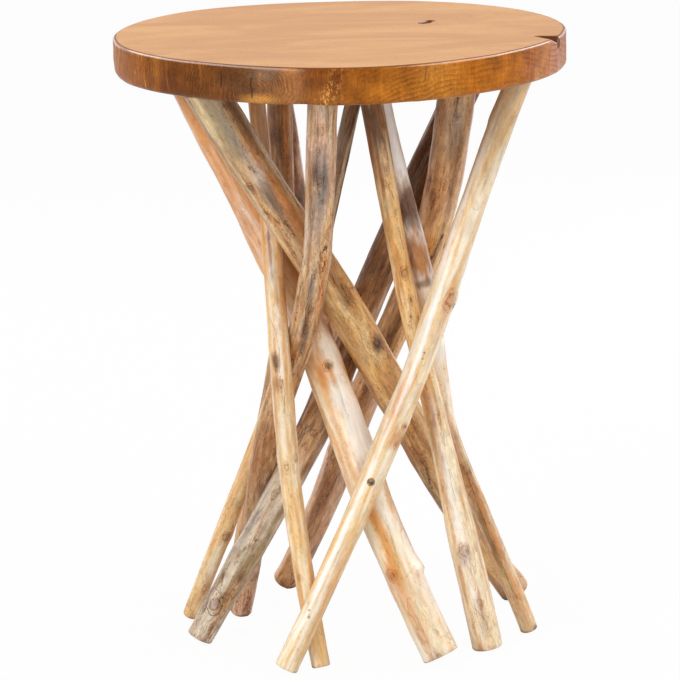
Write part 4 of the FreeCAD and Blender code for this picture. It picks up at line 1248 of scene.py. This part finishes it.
def to_rim(point, depth):
    """Where a point of the plain disc goes, moved out to the rim of the solid and into its waves."""
    bearing, reach = math.atan2(point.y, point.x), flat(point).length
    share = min(reach / HALF_REACH, 1)
    low = min(max((depth - WAVES_START) / (THICK - WAVES_START), 0), 1)
    wave, left = rim_wave(bearing)
    lift = low * underside_lift(bearing, share)
    drawn = low * share**6 * (0.0012 * left + 0.0015 * max(-wave, 0))
    belly = 0.0006 * noise.noise((math.cos(bearing) * 6, math.sin(bearing) * 6, depth * 60))
    out = reach * (reach_at(bearing) / HALF_REACH) - drawn + belly * share**8
    return Vector((math.cos(bearing) * out, math.sin(bearing) * out, point.z + lift))


def carve(place, depth):
    """Sinks a place that lies in the knot or the split, and says how darkly it is stained."""
    patch = 0.0
    across = flat(place) - KNOT_MIDDLE
    long = across.x * math.cos(KNOT_BEARING) + across.y * math.sin(KNOT_BEARING)
    wide = across.y * math.cos(KNOT_BEARING) - across.x * math.sin(KNOT_BEARING)
    ragged = 1 + 0.25 * noise.noise((place.x * 160, place.y * 160, 1))
    oval = ((long / KNOT_LONG) ** 2 + (wide / KNOT_WIDE) ** 2) * ragged
    if depth < 0.001 and oval < 1.6:
        place.z -= KNOT_DEEP * math.sqrt(max(1 - oval, 0))
        patch = min(max(1.5 - oval, 0), 1)
    from_tip, run = flat(place) - SPLIT_TIP, SPLIT_MOUTH - SPLIT_TIP
    off = from_tip.cross(run.normalized()).z
    reach_in = min(from_tip.dot(run.normalized()) / run.length, 1.15)
    if reach_in > 0:
        width = (SPLIT_FRONT if off > 0 else SPLIT_BACK) * reach_in
        inside = max(1 - abs(off) / width, 0)
        place.z -= SPLIT_DEEP * reach_in * inside * max(1 - depth / 0.009, 0)
        shade = 1 - 0.4 * reach_in if off < 0 else 0.8 * max(1 - off / 0.004, 0)
        patch = max(patch, shade * min(inside * 4, 1) * min(reach_in * 4, 1))
    return patch


print("knot", 2 * KNOT_LONG, "by", 2 * KNOT_WIDE, "m, split", SPLIT_DEEP, "m deep")

# %% Work the disc
fine_edges = [edge for edge in disc.edges if all(near_detail(vert) for vert in edge.verts)]
bmesh.ops.subdivide_edges(disc, edges=fine_edges, cuts=2, use_grid_fill=True)
open_layer = disc.verts.layers.float.new("open")
for vert in disc.verts:
    depth = SLAB_HIGH.z - vert.co.z
    place = to_rim(vert.co, depth)
    vert[open_layer] = carve(place, depth) if depth < NEAR_FACE else 0.0
    vert.co = place
print("disc faces", len(disc.faces), "with", len(fine_edges), "fine edges")

# %% Stain the side
SIDE_TONES = (
    (118, 78, 16, 40, tone(160, 96, 32), 0.9), (138, 80, 22, 44, tone(146, 80, 8), 0.9),
    (157, 80, 4, 30, tone(206, 128, 36), 0.8), (172, 85, 20, 40, tone(106, 54, 6), 0.95),
    (200, 90, 24, 34, tone(106, 58, 14), 0.9), (225, 80, 18, 22, tone(98, 56, 20), 0.9),
    (226, 98, 20, 12, tone(122, 68, 22), 0.8), (248, 84, 20, 26, tone(94, 58, 30), 0.9),
    (270, 86, 16, 26, tone(128, 86, 52), 0.8), (258, 100, 16, 5, tone(206, 144, 66), 0.8),
    (266, 75, 16, 6, tone(128, 100, 80), 0.6), (296, 88, 14, 34, tone(160, 106, 62), 0.9),
    (328, 98, 20, 10, tone(184, 122, 54), 0.8), (345, 78, 22, 16, tone(160, 94, 34), 0.8),
    (366, 90, 26, 26, tone(146, 82, 10), 0.9), (402, 96, 30, 16, tone(188, 114, 28), 0.8),
    (429, 70, 7, 12, tone(126, 76, 40), 0.8), (445, 80, 24, 26, tone(200, 128, 42), 0.9),
    (482, 80, 24, 26, tone(184, 106, 18), 0.9), (510, 72, 14, 20, tone(188, 108, 20), 0.8),
    (532, 66, 9, 34, tone(168, 96, 48), 0.8), (538, 80, 3, 14, tone(226, 168, 104), 0.7),
    (556, 62, 9, 34, tone(190, 134, 108), 0.9), (546, 66, 8, 34, tone(188, 122, 74), 0.8),
)
SIDE_TONE = tone(164, 96, 24)
FACE_SLOPE = 0.9

disc.normal_update()
places = np.array([vert.co for vert in disc.verts])
normals = np.array([vert.normal for vert in disc.verts])
px, py = picture_place(places)
seen_here = (np.einsum("ij,ij->i", normals, np.array(EYE) - places) > 0) & (normals[:, 2] < FACE_SLOPE)
colours = np.tile(np.array(SIDE_TONE), (len(places), 1))
for x, y, wide, high, patch, strength in SIDE_TONES:
    apart = np.hypot((px - x) / wide, (py - y) / high)
    colours = laid_over(colours, patch, (strength * np.clip(1.4 - apart * 0.9, 0, 1) * seen_here)[:, None])
tint_layer = disc.verts.layers.float_color.new("tint")
for vert, colour in zip(disc.verts, colours):
    vert[tint_layer] = tuple(colour)
slab_mesh = to_mesh(disc, "slab_top")
slab = add_object("slab_top", slab_mesh)
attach(slab, "root")
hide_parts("slab")
print("slab faces", len(slab_mesh.polygons))


# %% [markdown]
# ## Lacquered slab wood
# The rings of a tree are a solid pattern, so they are drawn in the slab's own space and agree on its face and
# its rim. The slab was cut where two stems meet: each stem has its own pith, a line that runs nearly from
# front to back, and the rings follow whichever pith is nearer. Golden flecks gather where the two meet. The
# side is glossier and darker than the sanded top, and where they join a thin dark line is painted: a painted
# reflection of the darker room in front, which the rounded rim mirrors.
# %% Slab finish
slab_wood = Finish("slab_wood")
spot_in_slab = slab_wood.node("ShaderNodeTexCoord", out="Object")


def pith(middle, turn, squeeze):
    """The distance from a pith line that meets the front at its middle, turned to the side."""
    turned = slab_wood.node(
        "ShaderNodeMapping",
        {"vector_type": "TEXTURE"},
        {"Vector": spot_in_slab, "Location": middle, "Rotation": (0, 0, turn), "Scale": (1, 12, squeeze)},
    )
    return slab_wood.node("ShaderNodeVectorMath", {"operation": "LENGTH"}, {0: turned}, out="Value")


def late_wood(rings):
    """The dark end of each year's ring, fading in slowly and ending at once."""
    year = rings.fraction()
    return slab_wood.ramp(year, 0.3, 0.9) * (1 - slab_wood.ramp(year, 0.9, 1.0))


def crack_line(x, low, high, wide):
    """A short dark crack down the front of the side, in metres."""
    off = abs(across_slab - x + small_wobble * 0.004)
    ends = slab_wood.ramp(up_slab, low - 0.002, low + 0.002) * (1 - slab_wood.ramp(up_slab, high - 0.002, high))
    return (1 - slab_wood.ramp(off, wide * 0.3, wide)) * ends


across_slab, back_slab, up_slab = slab_wood.split(spot_in_slab)
_, _, upright = slab_wood.split(slab_wood.node("ShaderNodeNewGeometry", out="Normal"))
on_face = slab_wood.ramp(upright, 0.8, 0.97)
on_side = 1 - on_face
on_front = 1 - slab_wood.ramp(back_slab, -0.12, -0.06)

wobble = slab_wood.noise(spot_in_slab * (1, 0.5, 1), 16, 3, 0.5) - 0.5
small_wobble = slab_wood.noise(spot_in_slab * (1, 0.4, 1), 75, 2, 0.5) - 0.5
left_pith = pith((-0.080, -0.2, 0.590), -0.3, 0.9)
right_pith = pith((0.126, -0.18, 0.37), 0.2, 1.0)
left_rings = late_wood(left_pith * 330 + wobble * 13 + small_wobble * 1.6)
right_rings = late_wood(right_pith * 210 + wobble * 4 + small_wobble * 1.0)
fine_rings = late_wood(right_pith * 560 + wobble * 18 + small_wobble * 1.6)
apart = left_pith - right_pith + 0.187 + wobble * 0.05
to_right = slab_wood.ramp(apart, -0.006, 0.006)
late = left_rings * (1 - to_right) * 0.65 + (right_rings * 0.5 + fine_rings * 0.3) * to_right
strength = 0.25 + slab_wood.ramp(slab_wood.noise(spot_in_slab, 40, 3), 0.4, 0.62) * 0.75

meeting = 1 - slab_wood.ramp(abs(apart), 0.0, 0.022)
fleck_noise = slab_wood.noise(spot_in_slab * (1, 1, 0.6), 380, 2, 0.6)
low_side = 1 - slab_wood.ramp(up_slab, 0.578, 0.604)
golden = slab_wood.ramp(fleck_noise, 0.52, 0.6) * meeting * (0.3 + low_side * 0.7)
threads = slab_wood.noise(spot_in_slab * (1, 1, 0.1), 300, 3, 0.6) - 0.5
at_left_end = 1 - slab_wood.ramp(across_slab, -0.185, -0.172)
bands = slab_wood.noise(spot_in_slab * (0.6, 1.5, 1), 9, 4, 0.6, 0.9)
pores = slab_wood.noise(spot_in_slab * (1, 0.1, 1), 900, 2, 0.6)
blotch = slab_wood.noise(spot_in_slab, 60, 4, 0.65) - 0.5
open_wood = slab_wood.attribute("open", out="Fac")

face_colour = slab_wood.blend(tone(206, 156, 106), tone(192, 140, 94), slab_wood.ramp(bands, 0.34, 0.62))
open_pores = slab_wood.ramp(pores, 0.56, 0.7) * 0.6
face_colour = slab_wood.darken(face_colour, ((0.84, 0.72, 0.6), late * 0.1), ((0.82, 0.72, 0.62), open_pores))

side_colour = slab_wood.attribute("tint", out="Color")
grit = slab_wood.noise(spot_in_slab, 420, 3, 0.7) - 0.5
side_value = 1 + blotch * 1.2 + grit * 1.2 + threads * (0.6 + at_left_end)
side_colour = slab_wood.blend(side_colour, side_value, 1.0, "MULTIPLY")
middle_front = 1 - slab_wood.ramp(abs(across_slab + 0.017), 0.012, 0.03)
side_shades = ((0.62, 0.52, 0.42), middle_front * on_front), ((0.46, 0.34, 0.24), late * strength)
side_colour = slab_wood.darken(side_colour, *side_shades)
gold_streak = slab_wood.ramp(threads + blotch * 0.4, 0.1, 0.2) * (0.12 + at_left_end * 0.6)
side_colour = slab_wood.blend(side_colour, tone(220, 148, 56), gold_streak)
side_colour = slab_wood.blend(side_colour, tone(232, 172, 92), golden * 0.8)
cracks = crack_line(-0.112, 0.588, 0.604, 0.0011).most(crack_line(-0.0835, 0.579, 0.6, 0.0012))
cracks = cracks.most(crack_line(0.0795, 0.594, 0.609, 0.0008) * 0.6)
side_colour = slab_wood.blend(side_colour, tone(48, 28, 18), cracks * on_front * 0.7)

wood_colour = slab_wood.blend(side_colour, face_colour, on_face)
on_round = slab_wood.ramp(upright, 0.1, 0.3) * (1 - slab_wood.ramp(upright, 0.75, 0.9))
# Painted reflection: a thin dark line along the upper rim, for the darker room that the rounded edge mirrors.
rim_dark_reflection = slab_wood.ramp(upright, 0.7, 0.88) * (1 - slab_wood.ramp(upright, 0.99, 0.9999))
wood_colour = slab_wood.darken(wood_colour, ((0.3, 0.17, 0.1), rim_dark_reflection * 0.9))
in_hole = slab_wood.ramp(open_wood, 0.25, 0.8)
wood_colour = slab_wood.blend(wood_colour, tone(78, 38, 16), in_hole * 0.92)
slab_height = late * -0.1 + pores * 0.08 + small_wobble * 0.6 * on_side - cracks * on_front
slab_material = slab_wood.surface(
    slab_height,
    0.0005,
    {
        "Base Color": wood_colour,
        "Roughness": 0.4 + on_face * 0.16 + (pores - 0.5) * 0.12 + open_wood * 0.2 + golden * 0.1,
        "Coat Weight": (0.08 + on_side * 0.12 + on_round * 0.8) * (1 - in_hole),
        "Coat Roughness": 0.06,
        "Specular IOR Level": 0.1,
        "IOR": WOOD_IOR,
    },
)
slab_mesh.materials.append(slab_material)
print("slab nodes", len(slab_wood.tree.nodes))

# %% [markdown]
# ## Plugs, dowels and screws
# The plugs are short lengths of the same wood, each with a core dark with glue. The dowels and screws are
# sealed inside the wood, and still get a finish of their own: pale beech with fine fibres, and dull zinc.
# These nodes keep the frame's own meshes.
# %% Small parts
def plug_finish():
    """Brown wood, nearly black round the middle of each plug."""
    wood = Finish("plug_wood")
    place = wood.node("ShaderNodeTexCoord", out="Object")
    grain = wood.noise(place, 700, 3, 0.6)
    blotch = wood.noise(place, 240, 3, 0.6)
    nearest = None
    for middle in plug_middles:
        ends = {0: place, 1: tuple(middle)}
        off = wood.node("ShaderNodeVectorMath", {"operation": "DISTANCE"}, ends, out="Value")
        nearest = off if nearest is None else nearest.least(off)
    glued = 1 - wood.ramp(nearest + (blotch - 0.5) * 0.008, 0.0026, 0.004)
    colour = wood.blend(tone(188, 150, 108), tone(120, 88, 62), wood.ramp(grain, 0.4, 0.6))
    colour = wood.blend(colour, tone(66, 58, 54), glued)
    values = {"Base Color": colour, "Roughness": 0.55 + (grain - 0.5) * 0.2, "Coat Weight": 0.2}
    return wood.surface(grain, 0.0004, values)


def dowel_finish():
    """Pale beech with fibres along the dowel."""
    wood = Finish("dowel_wood")
    place = wood.node("ShaderNodeTexCoord", out="Object")
    fibre = wood.noise(place * (1, 1, 0.1), 800, 3, 0.6)
    colour = wood.blend(tone(206, 172, 124), tone(184, 146, 98), fibre)
    return wood.surface(fibre, 0.0004, {"Base Color": colour, "Roughness": 0.6 + (fibre - 0.5) * 0.2})


def screw_finish():
    """Dull zinc over steel."""
    steel = Finish("screw_steel")
    place = steel.node("ShaderNodeTexCoord", out="Object")
    streak = steel.noise(place, 500, 2)
    colour = steel.blend(tone(214, 210, 196), tone(176, 172, 160), streak)
    values = {"Base Color": colour, "Roughness": 0.32 + (streak - 0.5) * 0.2, "Metallic": 1.0}
    return steel.surface(streak, 0.0002, values)


SMALL_PARTS = {"screw_plugs": plug_finish(), "top_dowels": dowel_finish(), "crossing_screws": screw_finish()}
for node, material in SMALL_PARTS.items():
    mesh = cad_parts[node].data
    mesh.materials.clear()
    mesh.materials.append(material)
    print(node, material.name)

# %% [markdown]
# ## Look
# Colours go to the screen as they are.
# %% Finish
bpy.context.scene.view_settings.view_transform = "Standard"
